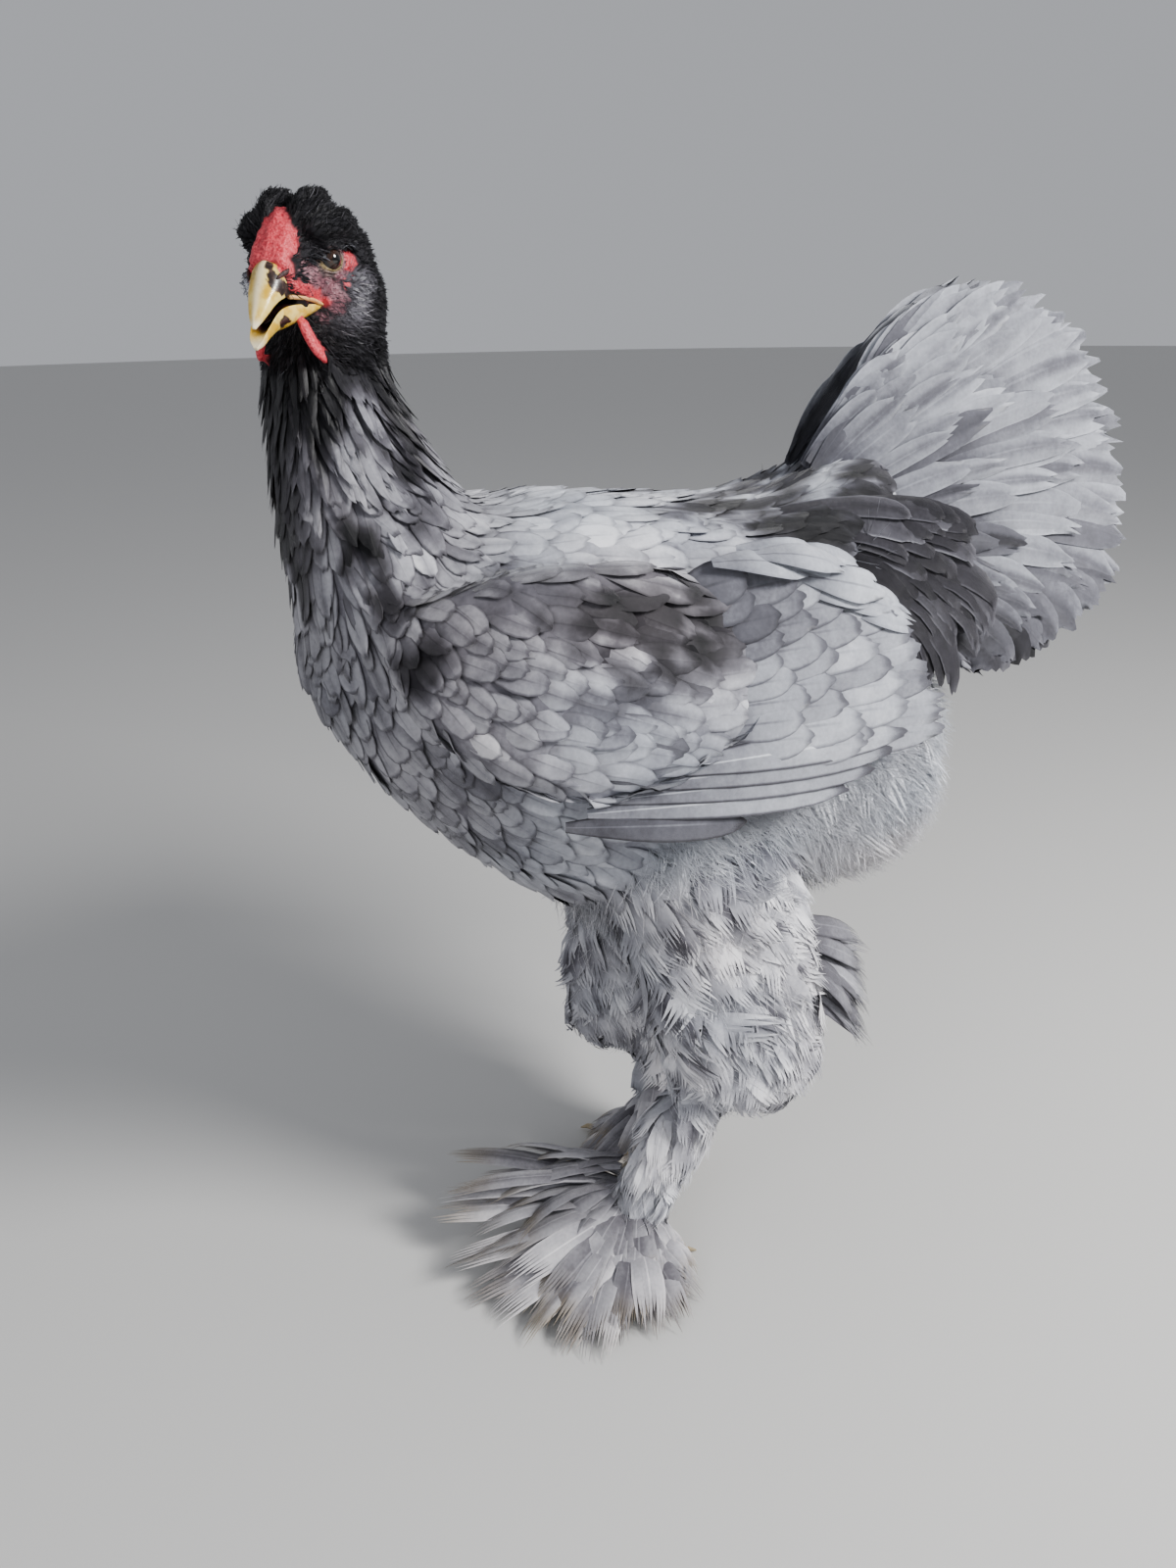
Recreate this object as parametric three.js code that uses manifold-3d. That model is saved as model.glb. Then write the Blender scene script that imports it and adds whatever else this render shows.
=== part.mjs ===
// A blue brahma cockerel, standing, at life size, as a still model in closed solids.
// Millimetres, +Z up. The bird faces -Y and its left side is +X.
// Every solid is drawn out to the tips of the feathers, and neighbours are parted by thin cuts.

import * as THREE from 'three';
import { mergeVertices } from 'three/addons/utils/BufferGeometryUtils.js';
import Module from 'manifold-3d';

const wasm = await Module();
wasm.setup();

// Driving dimensions

const GAP = 0.3; // clearance of every cut between two neighbours
const MIDDLE_OF_BIRD = new THREE.Vector3(0, 107.1, 0); // middle of the bird's box, which becomes the origin

const HEAD_CENTRE = new THREE.Vector3(15, -150, 661); // point between the eyes
const HEAD_TURN = 54; // degrees to the bird's left
const HEAD_NOD = 9; // degrees down

const FOOT_LEFT = new THREE.Vector3(62, 16, 0); // below the left ankle
const FOOT_RIGHT = new THREE.Vector3(-50, 84, 0); // below the right ankle, half a step behind
const TOE_HEIGHT = 15; // thickness of a toe at the foot

const TAIL_ROOT_TOP = new THREE.Vector3(8, 152, 544); // where the left half of the tail grows, at its top
const TAIL_ROOT_LOW = new THREE.Vector3(42, 178, 440); // and at its lowest feather
const TAIL_THICKNESS = 11; // of one half of the tail, several vanes deep

const COLOURS = {
  black: 0x1b1b20,
  slate: 0x5d5f68,
  blue: 0x8f9199,
  silver: 0xb4b6bd,
  comb: 0xc4484c,
  horn: 0xd8bd62,
  claw: 0xb9ad93,
  eye: 0x1c1210,
};

// Helpers

const vec = (x, y, z) => new THREE.Vector3(x, y, z);
const X_AXIS = vec(1, 0, 0);

// A closed surface from equal rings of points and two end points.
function skinOfRings(first, rings, last) {
  const count = rings[0].length;
  const points = [first, ...rings.flat(), last];
  const faces = [];
  const at = (ring, i) => 1 + ring * count + (i % count);
  for (let i = 0; i < count; i++) {
    faces.push(0, at(0, i), at(0, i + 1));
    for (let r = 0; r < rings.length - 1; r++) {
      faces.push(at(r, i), at(r + 1, i), at(r + 1, i + 1));
      faces.push(at(r, i), at(r + 1, i + 1), at(r, i + 1));
    }
    faces.push(at(rings.length - 1, i), points.length - 1, at(rings.length - 1, i + 1));
  }
  const geometry = new THREE.BufferGeometry();
  geometry.setAttribute('position', new THREE.Float32BufferAttribute(points.flatMap((p) => p.toArray()), 3));
  geometry.setIndex(faces);
  return geometry;
}

// A manifold solid of a closed geometry, its faces turned outwards.
function solidOf(geometry) {
  const bare = geometry.clone();
  bare.deleteAttribute('normal');
  bare.deleteAttribute('uv');
  const merged = mergeVertices(bare, 1e-4);
  const index = Uint32Array.from(merged.index.array);
  const position = merged.attributes.position.array;
  let sum = 0;
  for (let i = 0; i < index.length; i += 3) {
    const [a, b, c] = [0, 1, 2].map((k) => new THREE.Vector3().fromArray(position, index[i + k] * 3));
    sum += a.dot(b.cross(c));
  }
  if (sum < 0) {
    for (let i = 0; i < index.length; i += 3) [index[i + 1], index[i + 2]] = [index[i + 2], index[i + 1]];
  }
  const vertProperties = Float32Array.from(position);
  return new wasm.Manifold(new wasm.Mesh({ numProp: 3, vertProperties, triVerts: index }));
}

// A three.js geometry of a manifold solid.
function geometryOf(solid) {
  const mesh = solid.getMesh();
  const geometry = new THREE.BufferGeometry();
  geometry.setAttribute('position', new THREE.Float32BufferAttribute(mesh.vertProperties, mesh.numProp));
  geometry.setIndex(Array.from(mesh.triVerts));
  geometry.computeVertexNormals();
  return geometry;
}

const join = (solids) => solids.reduce((whole, piece) => whole.add(piece));

// The largest body of a solid, without the crumbs that a cut can leave.
function mainBody(solid) {
  return solid.decompose().reduce((best, body) => (body.volume() > best.volume() ? body : best));
}

// A rounded form along a row of sections. Each section is [x, y, z, side, plus, minus]: its middle, half its
// width along `across`, and its reach to either side of the plane of `across` and the path. `square` above 2
// fills its corners, and `grow` makes it fatter all over, which is how a neighbour's cut gets its clearance.
function loft(sections, { around = 20, steps = 12, across = X_AXIS, square = 2, grow = 0 } = {}) {
  const path = new THREE.CatmullRomCurve3(sections.map(([x, y, z]) => vec(x, y, z)), false, 'catmullrom');
  const sizes = new THREE.CatmullRomCurve3(sections.map((s) => vec(s[3], s[4], s[5])), false, 'catmullrom');
  const side = across.clone().normalize();
  const rings = [];
  for (let i = 0; i <= steps; i++) {
    const t = i / steps;
    const middle = path.getPoint(t);
    const along = path.getTangent(t);
    const up = new THREE.Vector3().crossVectors(side, along).normalize();
    const size = sizes.getPoint(t);
    const ring = [];
    for (let k = 0; k < around; k++) {
      const angle = (2 * Math.PI * k) / around;
      const bulge = (v) => Math.sign(v) * Math.abs(v) ** (2 / square);
      const [c, s] = [bulge(Math.cos(angle)), bulge(Math.sin(angle))];
      const reach = s > 0 ? size.y : size.z;
      const wide = middle.clone().addScaledVector(side, c * (size.x + grow));
      ring.push(wide.addScaledVector(up, s * (reach + grow)));
    }
    rings.push(ring);
  }
  const ends = [0, 1].map((t) => {
    const outwards = t === 0 ? -1 : 1;
    return path.getPoint(t).addScaledVector(path.getTangent(t), outwards * (1 + grow));
  });
  return solidOf(skinOfRings(ends[0], rings, ends[1]));
}

// An ellipsoid.
function ball(centre, radii, { grow = 0, around = 16, high = 10 } = {}) {
  const geometry = new THREE.SphereGeometry(1, around, high);
  geometry.scale(radii[0] + grow, radii[1] + grow, radii[2] + grow);
  geometry.translate(centre[0], centre[1], centre[2]);
  return solidOf(geometry);
}

// A fan of broad, blunt feathers as one solid. Its columns run from `root` to `tip`, both functions of the place
// across the fan, from 0 to 1. Each feather has two long columns, and the one between it and the next is thinner
// and stops short by `notch`, which scallops the edge. `bend` lifts the middle of the columns along `face`, the
// way the vanes face.
const FAN_ROWS = 3;
const FEATHER_COLUMNS = 3;
function featherFan({ count, root, tip, thick, face, bend = 0, notch = 0.12, grow = 0 }) {
  const columns = FEATHER_COLUMNS * count + 1;
  const out = face.clone().normalize();
  const points = [];
  const halves = [];
  for (let c = 0; c < columns; c++) {
    const across = c / (columns - 1);
    const between = c % FEATHER_COLUMNS === 0;
    const [start, end] = [root(across), tip(across)];
    const lifted = start.clone().lerp(end, 0.5).addScaledVector(out, bend * 2);
    const spine = new THREE.QuadraticBezierCurve3(start, lifted, end);
    const slack = grow / start.distanceTo(end);
    for (let r = 0; r < FAN_ROWS; r++) {
      const along = (r / (FAN_ROWS - 1)) * ((between ? 1 - notch : 1) + 2 * slack) - slack;
      points.push(spine.getPoint(along));
      halves.push((thick / 2) * (1 - 0.5 * along) * (between ? 0.6 : 1) + grow);
    }
  }
  for (const [outer, inner] of [[0, 1], [columns - 1, columns - 2]]) {
    for (let r = 0; r < FAN_ROWS; r++) {
      const at = points[outer * FAN_ROWS + r];
      const away = at.clone().sub(points[inner * FAN_ROWS + r]).normalize();
      at.addScaledVector(away, grow);
    }
  }
  const upper = points.map((point, i) => point.clone().addScaledVector(out, halves[i]));
  const lower = points.map((point, i) => point.clone().addScaledVector(out, -halves[i]));
  return solidOf(slab(upper, lower, columns, FAN_ROWS));
}

// A closed slab between two grids of points.
function slab(upper, lower, columns, rows) {
  const faces = [];
  const up = (c, r) => c * rows + r;
  const down = (c, r) => columns * rows + c * rows + r;
  const quad = (a, b, c, d) => faces.push(a, b, c, a, c, d);
  for (let c = 0; c < columns - 1; c++) {
    for (let r = 0; r < rows - 1; r++) {
      quad(up(c, r), up(c + 1, r), up(c + 1, r + 1), up(c, r + 1));
      quad(down(c, r), down(c, r + 1), down(c + 1, r + 1), down(c + 1, r));
    }
    quad(up(c, 0), down(c, 0), down(c + 1, 0), up(c + 1, 0));
    quad(up(c, rows - 1), up(c + 1, rows - 1), down(c + 1, rows - 1), down(c, rows - 1));
  }
  for (let r = 0; r < rows - 1; r++) {
    quad(up(0, r), up(0, r + 1), down(0, r + 1), down(0, r));
    quad(up(columns - 1, r), down(columns - 1, r), down(columns - 1, r + 1), up(columns - 1, r + 1));
  }
  const geometry = new THREE.BufferGeometry();
  const points = [...upper, ...lower];
  geometry.setAttribute('position', new THREE.Float32BufferAttribute(points.flatMap((p) => p.toArray()), 3));
  geometry.setIndex(faces);
  return geometry;
}

const sided = (v, side) => vec(v.x * side, v.y, v.z);
const LEFT = 1;
const RIGHT = -1;
const SIDES = [['left', LEFT], ['right', RIGHT]];

// Everything above the floor, which cuts the soles flat.
function aboveFloor(solid) {
  return solid.trimByPlane([0, 0, 1], 0);
}

// Head, in its own frame: the point between the eyes is the origin, the bill points to -Y, and +X is left.

const headMatrix = new THREE.Matrix4()
  .makeTranslation(HEAD_CENTRE.x, HEAD_CENTRE.y, HEAD_CENTRE.z)
  .multiply(new THREE.Matrix4().makeRotationZ(THREE.MathUtils.degToRad(HEAD_TURN)))
  .multiply(new THREE.Matrix4().makeRotationX(THREE.MathUtils.degToRad(HEAD_NOD)));

const onHead = (solid) => solid.transform(headMatrix.elements);

const EYE_SIDE = 17.8; // from the middle of the head to the middle of an eyeball
const EYE_RADIUS = 7.6;

// An eyeball, the same on either side.
function eye(side, grow = 0) {
  const radii = [EYE_RADIUS - 0.6, EYE_RADIUS, EYE_RADIUS];
  return onHead(ball([EYE_SIDE * side, -2, 5], radii, { grow, around: 8, high: 5 }));
}

// The upper bill: a short, deep, hooked horn with a keel along its top.
function upperBill(grow = 0) {
  const sections = [
    [0, -22, 2.5, 13.5, 11, 11],
    [0, -31, 0.8, 11.6, 9, 9],
    [0, -38.5, -3, 9.2, 6.5, 5.2],
    [0, -43.7, -7.2, 7, 4.2, 3.8],
    [0, -48.6, -11.8, 5, 2.8, 2.4],
    [0, -52.2, -15.6, 3, 1.8, 1.6],
    [0, -54.6, -18.8, 1.2, 1, 1],
  ];
  return onHead(loft(sections, { around: 8, steps: 6, square: 1.8, grow }));
}

// The lower bill: a shallow scoop, hanging open, as wide as the gape at its root.
function lowerBill(grow = 0) {
  const sections = [
    [0, -10, -16.8, 16.6, 2.6, 2],
    [0, -20, -17.8, 13, 4.6, 4.4],
    [0, -30, -18.2, 10.2, 5.4, 6],
    [0, -38, -18.8, 7.8, 5, 5.8],
    [0, -46.5, -22.4, 5.4, 3.6, 3.8],
    [0, -52.5, -26, 3.8, 2.4, 2.4],
    [0, -56, -28.2, 1.5, 1.2, 1.2],
  ];
  return onHead(loft(sections, { around: 8, steps: 4, square: 2.6, grow }));
}

// The pea comb: a low wedge of flesh from the bill to the crown, with three rows of small knobs.
function comb(grow = 0) {
  const wedge = loft(
    [
      [0, -32, 7.5, 9, 2.6, 4],
      [0, -26, 11.5, 11, 5, 6],
      [0, -18, 16.5, 11.4, 7, 8],
      [0, -10, 21.5, 8.8, 7.4, 9],
      [0, -3, 26.5, 5, 5.5, 8],
    ],
    { around: 8, steps: 5, grow },
  );
  const knobs = [];
  for (const [row, count, size] of [[-1, 2, 3.6], [0, 2, 4.2], [1, 2, 3.6]]) {
    for (let i = 0; i < count; i++) {
      const t = (i + 0.35) / count;
      const middle = [row * (7 - 3 * t), -26 + 18 * t, 14.5 + 13 * t - Math.abs(row) * 2];
      knobs.push(ball(middle, [size, size * 1.5, size], { grow, around: 4, high: 3 }));
    }
  }
  return onHead(join([wedge, ...knobs]));
}

// A wattle: a small flap of flesh that hangs below the gape.
function wattle(side, grow = 0) {
  const sections = [
    [11 * side, -25.5, -20.5, 3, 4, 4],
    [13.6 * side, -25.5, -28.5, 2.9, 4.8, 4.6],
    [16.6 * side, -24, -36, 2.5, 4.4, 4.4],
    [18.8 * side, -22, -41.5, 1.6, 2.4, 2.4],
  ];
  return onHead(loft(sections, { around: 6, steps: 5, grow }));
}

// The patch of short feathers and bare skin over the ear.
function earLobe(side, grow = 0) {
  return onHead(ball([33 * side, 9, -8], [6.5, 8.5, 10.5], { grow, around: 7, high: 4 }));
}

// The mouth is a wedge of air between the bills, and reaches back into the head as far as the gape.
function mouth(grow = 0) {
  const sections = [
    [0, -66, -26, 30, 9, 8],
    [0, -46, -15.5, 29, 4.6, 4.6],
    [0, -36, -10.6, 28, 2.6, 2.6],
    [0, -24, -11.4, 27, 2.2, 2.2],
    [0, -14, -14.4, 24, 1.6, 1.6],
    [0, -9, -16, 20, 0.9, 0.9],
  ];
  return onHead(loft(sections, { around: 8, steps: 4, grow }));
}

// The skull with its feathers, its brows, the two halves of its crest and its cheeks.
function head(grow = 0) {
  const skull = loft(
    [
      [0, -35, -6, 8, 8, 10],
      [0, -29, -6, 14, 13, 17],
      [0, -18, -3, 18.5, 20, 23],
      [0, -5, 2, 21, 25, 30],
      [0, 9, 3, 26, 29, 35],
      [0, 22, 1, 31, 28, 38],
      [0, 34, -3, 29, 23, 36],
      [0, 42, -7, 17, 13, 22],
    ],
    { around: 10, steps: 6, square: 2.1, grow },
  );
  const coarse = { grow, around: 6, high: 4 };
  const brows = SIDES.map(([, side]) => ball([18 * side, 5, 19], [14, 22, 11.5], coarse));
  const crests = SIDES.map(([, side]) => ball([9.5 * side, 6, 24], [11, 22, 16.5], coarse));
  const cheeks = SIDES.map(([, side]) => ball([20 * side, 7, -14], [15, 20, 16], coarse));
  return onHead(join([skull, ...brows, ...crests, ...cheeks]));
}

// Neck and trunk

// The full neck, from between the shoulders to the back of the head.
function neck(grow = 0) {
  const sections = [
    [0, -88, 432, 84, 66, 60],
    [0, -104, 470, 88, 67, 64],
    [0, -117, 510, 74, 60, 60],
    [0, -129, 548, 54, 49, 54],
    [0, -136, 583, 44, 43, 39],
    [-1, -138, 612, 40, 37, 36],
    [-3, -137, 640, 37, 33, 36],
    [-7, -133, 662, 33, 26, 32],
    [-9, -130, 678, 18, 14, 18],
  ];
  return loft(sections, { around: 14, steps: 7, square: 2.1, grow });
}

// Breast, back and belly in one, from the foremost point of the breast to the stern.
function trunk(grow = 0) {
  const sections = [
    [0, -168, 472, 14, 16, 14],
    [0, -158, 466, 42, 44, 40],
    [0, -134, 458, 77, 76, 70],
    [0, -98, 448, 101, 96, 98],
    [0, -56, 437, 112, 114, 124],
    [0, -14, 427, 114, 122, 150],
    [0, 30, 417, 114, 126, 164],
    [0, 74, 409, 111, 126, 168],
    [0, 116, 402, 104, 124, 158],
    [0, 156, 398, 88, 118, 134],
    [0, 192, 396, 64, 96, 98],
    [0, 220, 396, 22, 38, 36],
  ];
  return loft(sections, { around: 14, steps: 9, square: 2.15, grow });
}

// The saddle: the cushion of hackle feathers in front of the tail.
function saddle(grow = 0) {
  const sections = [
    [0, 66, 506, 40, 28, 26],
    [0, 96, 500, 72, 34, 40],
    [0, 128, 494, 82, 44, 50],
    [0, 158, 490, 78, 66, 54],
    [0, 188, 484, 62, 84, 50],
    [0, 212, 480, 38, 62, 34],
    [0, 224, 478, 12, 18, 12],
  ];
  return loft(sections, { around: 14, steps: 6, grow });
}

// The soft down behind and below the trunk.
function sternFluff(grow = 0) {
  const sections = [
    [0, 96, 352, 70, 60, 80],
    [0, 130, 354, 88, 78, 96],
    [0, 170, 358, 94, 88, 102],
    [0, 210, 362, 86, 84, 96],
    [0, 244, 364, 64, 64, 68],
    [0, 266, 364, 38, 38, 38],
    [0, 276, 364, 10, 10, 9],
  ];
  return loft(sections, { around: 14, steps: 6, grow });
}

// Head, neck, trunk, saddle and stern are modelled whole, and parted by flat cuts square to the bird's middle
// plane. A cut is [y, z, slope]: a point that it passes through, and its slope in degrees, rising to the rear.
const HEAD_CUT = [-138, 628, 0];
const NECK_CUT = [-112, 512, 26];
const SADDLE_CUT = [120, 506, -14];
const STERN_CUT = [186, 440, -62];
const ABOVE = 1;
const BELOW = -1;

function cutHalf(solid, [y, z, slope], half) {
  const angle = THREE.MathUtils.degToRad(slope);
  const normal = [0, -Math.sin(angle) * half, Math.cos(angle) * half];
  return solid.trimByPlane(normal, normal[1] * y + normal[2] * z + GAP / 2);
}

const bodyOf = (grow) => join([head(grow), neck(grow), trunk(grow), saddle(grow), sternFluff(grow)]);
const body = bodyOf(0).subtract(mouth());
const grownBody = bodyOf(GAP).subtract(mouth(-GAP));

const BODY_PARTS = {
  head: [[HEAD_CUT, ABOVE]],
  neck: [[HEAD_CUT, BELOW], [NECK_CUT, ABOVE]],
  saddle: [[NECK_CUT, BELOW], [SADDLE_CUT, ABOVE]],
  stern_fluff: [[NECK_CUT, BELOW], [SADDLE_CUT, BELOW], [STERN_CUT, ABOVE]],
  trunk: [[NECK_CUT, BELOW], [SADDLE_CUT, BELOW], [STERN_CUT, BELOW]],
};
const bodyPart = (name) => BODY_PARTS[name].reduce((solid, [cut, half]) => cutHalf(solid, cut, half), body);

// Wings, folded against the trunk

const WING_LEAN = 14; // degrees that the top of the wing leans towards the back

// The shoulder and bow of a folded wing.
function wing(side, grow = 0) {
  const lean = THREE.MathUtils.degToRad(WING_LEAN);
  const across = vec(Math.cos(lean), 0, Math.sin(lean) * side);
  const sections = [
    [80 * side, -132, 478, 6, 14, 16],
    [91 * side, -114, 475, 17, 34, 40],
    [103 * side, -82, 468, 24, 52, 66],
    [111 * side, -42, 460, 26, 64, 78],
    [114 * side, 0, 455, 25, 66, 74],
    [113 * side, 38, 452, 21, 58, 60],
    [110 * side, 70, 450, 14, 42, 40],
    [107 * side, 88, 448, 5, 14, 14],
  ];
  return loft(sections, { around: 12, steps: 6, across, square: 2.2, grow });
}

const SECONDARIES = 4;
const PRIMARIES = 3;

// The ends of the secondaries and the long feathers above them, from the lowest to the highest.
function secondaries(side, grow = 0) {
  return featherFan({
    count: SECONDARIES,
    root: (t) => sided(vec(120 - 18 * t, 40 - 14 * t, 404 + 88 * t), side),
    tip: (t) => sided(vec(104 - 20 * t, 206 - 70 * t * t, 396 + 104 * t), side),
    thick: 18,
    face: vec(side, 0, 0.25),
    bend: 7,
    grow,
  });
}

// The ends of the primaries, which show as a narrow row below the secondaries.
function primaries(side, grow = 0) {
  return featherFan({
    count: PRIMARIES,
    root: (t) => sided(vec(117, -58 + 60 * t, 384 + 18 * t), side),
    tip: (t) => sided(vec(122 - 12 * t, 30 + 142 * Math.sqrt(t), 372 + 26 * t * t), side),
    thick: 13,
    face: vec(side, 0, 0.1),
    bend: 4,
    grow,
  });
}

// Tail: two halves that lean together like a roof, each a fan of broad round-ended feathers

// [x, y, z] of the tips, from the front of the fan over the top to the lower rear.
const TAIL_TIPS = new THREE.CatmullRomCurve3(
  [
    [3, 228, 626],
    [8, 276, 650],
    [14, 328, 636],
    [20, 372, 592],
    [28, 394, 524],
    [42, 386, 462],
    [58, 330, 424],
    [66, 270, 408],
  ].map((p) => vec(...p)),
);
const TAIL_FEATHERS = 7;

function tailHalf(side, grow = 0) {
  return featherFan({
    count: TAIL_FEATHERS,
    root: (t) => sided(TAIL_ROOT_TOP.clone().lerp(TAIL_ROOT_LOW, t), side),
    tip: (t) => sided(TAIL_TIPS.getPoint(t), side),
    thick: TAIL_THICKNESS,
    face: vec(side, 0, 0.2),
    bend: 8,
    notch: 0.07,
    grow,
  });
}

// The long dark coverts that curl down over the sides of the tail.
function tailCoverts(side, grow = 0) {
  return featherFan({
    count: 4,
    root: (t) => sided(vec(54 + 16 * t, 134 - 14 * t, 532 - 60 * t), side),
    tip: (t) => sided(vec(66 + 16 * t, 226 + 28 * Math.sin(Math.PI * t), 514 - 98 * t), side),
    thick: 14,
    face: vec(side, 0.1, 0.5),
    bend: 12,
    grow,
  });
}

// Round clumps of soft feathers under the tail, from its right side across to its left.
function tailCushion(grow = 0) {
  const across = (t) => 2 * t - 1;
  return featherFan({
    count: 3,
    root: (t) => vec(46 * across(t), 206, 424 + 6 * across(t) ** 2),
    tip: (t) => vec(70 * across(t), 298 - 44 * across(t) ** 2, 388 + 26 * across(t) ** 2),
    thick: 22,
    face: vec(0, 0.2, 1),
    bend: -8,
    grow,
  });
}

// Legs

// Sections of the thighs, as `loft` reads them.
const THIGHS = {
  left: [
    [58, 40, 336, 52, 66, 58],
    [64, 52, 300, 52, 76, 66],
    [69, 64, 258, 49, 82, 64],
    [73, 77, 216, 46, 78, 68],
    [76, 90, 176, 43, 70, 66],
    [77, 95, 148, 39, 62, 60],
    [77, 93, 126, 27, 38, 38],
    [77, 91, 117, 9, 12, 12],
  ],
  right: [
    [-58, 46, 336, 52, 64, 58],
    [-62, 58, 300, 52, 74, 64],
    [-64, 68, 258, 49, 80, 64],
    [-66, 76, 216, 47, 78, 72],
    [-67, 84, 172, 46, 76, 86],
    [-67, 90, 136, 42, 70, 88],
    [-66, 96, 104, 32, 52, 62],
    [-66, 100, 88, 10, 14, 18],
  ],
};

// A thigh in its loose feathers, down to the hock.
function thigh(name, grow = 0) {
  return loft(THIGHS[name], { around: 12, steps: 7, square: 2.1, grow });
}

// The stiff feathers that point down and back from the hock.
function hockTuft(side, shift, grow = 0) {
  return featherFan({
    count: 3,
    root: (t) => vec((54 + 26 * t) * side, 118 + shift, 240 - 10 * t),
    tip: (t) => vec((46 + 36 * t) * side, 212 - 26 * t + shift, 210 - 54 * t),
    thick: 12,
    face: vec(0.35 * side, 1, 0.7),
    bend: 9,
    grow,
  });
}

// A shank with its own soft feathers, from inside the hock down to the toes.
function shank(ankle, lean, grow = 0) {
  const { x, y } = ankle;
  const sections = [
    [x + 7, y + lean + 12, 152, 18, 18, 18],
    [x + 6, y + lean + 2, 128, 24, 30, 30],
    [x + 4, y + 0.45 * lean, 92, 24, 31, 32],
    [x + 2, y + 0.2 * lean, 58, 22, 27, 29],
    [x, y, 30, 20, 22, 26],
    [x, y - 2, 14, 15, 15, 20],
    [x, y - 3, 11, 7, 7, 9],
  ];
  return loft(sections, { around: 9, steps: 5, grow });
}

// [heading, length, thickness] of the toes: degrees from straight ahead to the bird's outer side, millimetres,
// and the thickness against the middle toe's.
const TOES = {
  middle: [4, 70, 1.0],
  inner: [-34, 54, 0.9],
  outer: [42, 56, 0.9],
  back: [172, 32, 0.75],
};
const CLAW_LENGTH = 13;

// The point that lies a distance from the ankle, in a direction on the floor, at a height.
function towards(ankle, heading, side, distance, height) {
  const angle = THREE.MathUtils.degToRad(heading);
  return vec(ankle.x + side * Math.sin(angle) * distance, ankle.y - Math.cos(angle) * distance, height);
}

function crosswise(heading, side) {
  const angle = THREE.MathUtils.degToRad(heading);
  return vec(Math.cos(angle), side * Math.sin(angle), 0);
}

// The sole pad and its four toes, cut flat where they stand on the floor.
function foot(ankle, side, grow = 0) {
  const toes = Object.values(TOES).map(([heading, length, thick]) => {
    const half = (TOE_HEIGHT / 2) * thick;
    const sections = [0, 0.35, 0.7, 1].map((t) => {
      const point = towards(ankle, heading, side, length * t, half * (1 - 0.25 * t) - 0.8);
      const size = half * (1 - 0.3 * t);
      return [point.x, point.y, point.z, size, size, size];
    });
    const across = crosswise(heading, side);
    return loft(sections, { around: 5, steps: 2, across, grow });
  });
  const pad = ball([ankle.x, ankle.y, 6], [14, 15, 9], { grow, around: 6, high: 4 });
  return aboveFloor(join([pad, ...toes]));
}

// A blunt claw that goes on from a toe's end.
function claw(ankle, side, [heading, length, thick], grow = 0) {
  const root = towards(ankle, heading, side, length + 2.6, 4.6 * thick);
  const crook = towards(ankle, heading, side, length + CLAW_LENGTH * 0.6, 5 * thick);
  const tip = towards(ankle, heading, side, length + CLAW_LENGTH, 1.6);
  const sections = [
    [root.x, root.y, root.z, 3.2 * thick, 3.2 * thick, 3.2 * thick],
    [crook.x, crook.y, crook.z, 2.4 * thick, 2.4 * thick, 2.4 * thick],
    [tip.x, tip.y, tip.z, 0.7, 0.7, 0.7],
  ];
  return aboveFloor(loft(sections, { around: 5, steps: 2, across: crosswise(heading, side), grow }));
}

// The fan of feathers on the foot. It starts inside the middle toe, is longest there, and runs round the outer
// side to the heel, with every tip laid on the floor or lifted a little above it.
const FAN_START = -50;
const FAN_END = 132;
const FAN_LONG = 150;
const FAN_SHORT = 48;
const FAN_LIFT = 42; // height of the tips inside the middle toe
const FAN_FEATHERS = { left: 7, right: 4 };

const FAN_REACH = { left: 1, right: 0.66 };

function footFan(ankle, name, grow = 0) {
  const side = name === 'left' ? LEFT : RIGHT;
  const reach = FAN_REACH[name];
  const heading = (t) => THREE.MathUtils.lerp(FAN_START, FAN_END, t);
  const length = (t) => reach * (FAN_SHORT + (FAN_LONG - FAN_SHORT) * (1 - t) ** 1.2);
  const inner = (t) => Math.max(0, 0.3 - t) / 0.3;
  return aboveFloor(
    featherFan({
      count: FAN_FEATHERS[name],
      root: (t) => towards(ankle, heading(t), side, 12, 30 + 36 * inner(t) * reach),
      tip: (t) => towards(ankle, heading(t), side, length(t), 2.2 + FAN_LIFT * inner(t) * reach),
      thick: 13,
      face: vec(0, 0, 1),
      bend: 7,
      grow,
    }),
  );
}

// Cutting order: a solid further down the list gives way to all the ones above it. A recipe is a name, a maker
// that takes the clearance to grow by, and a colour.

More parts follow.
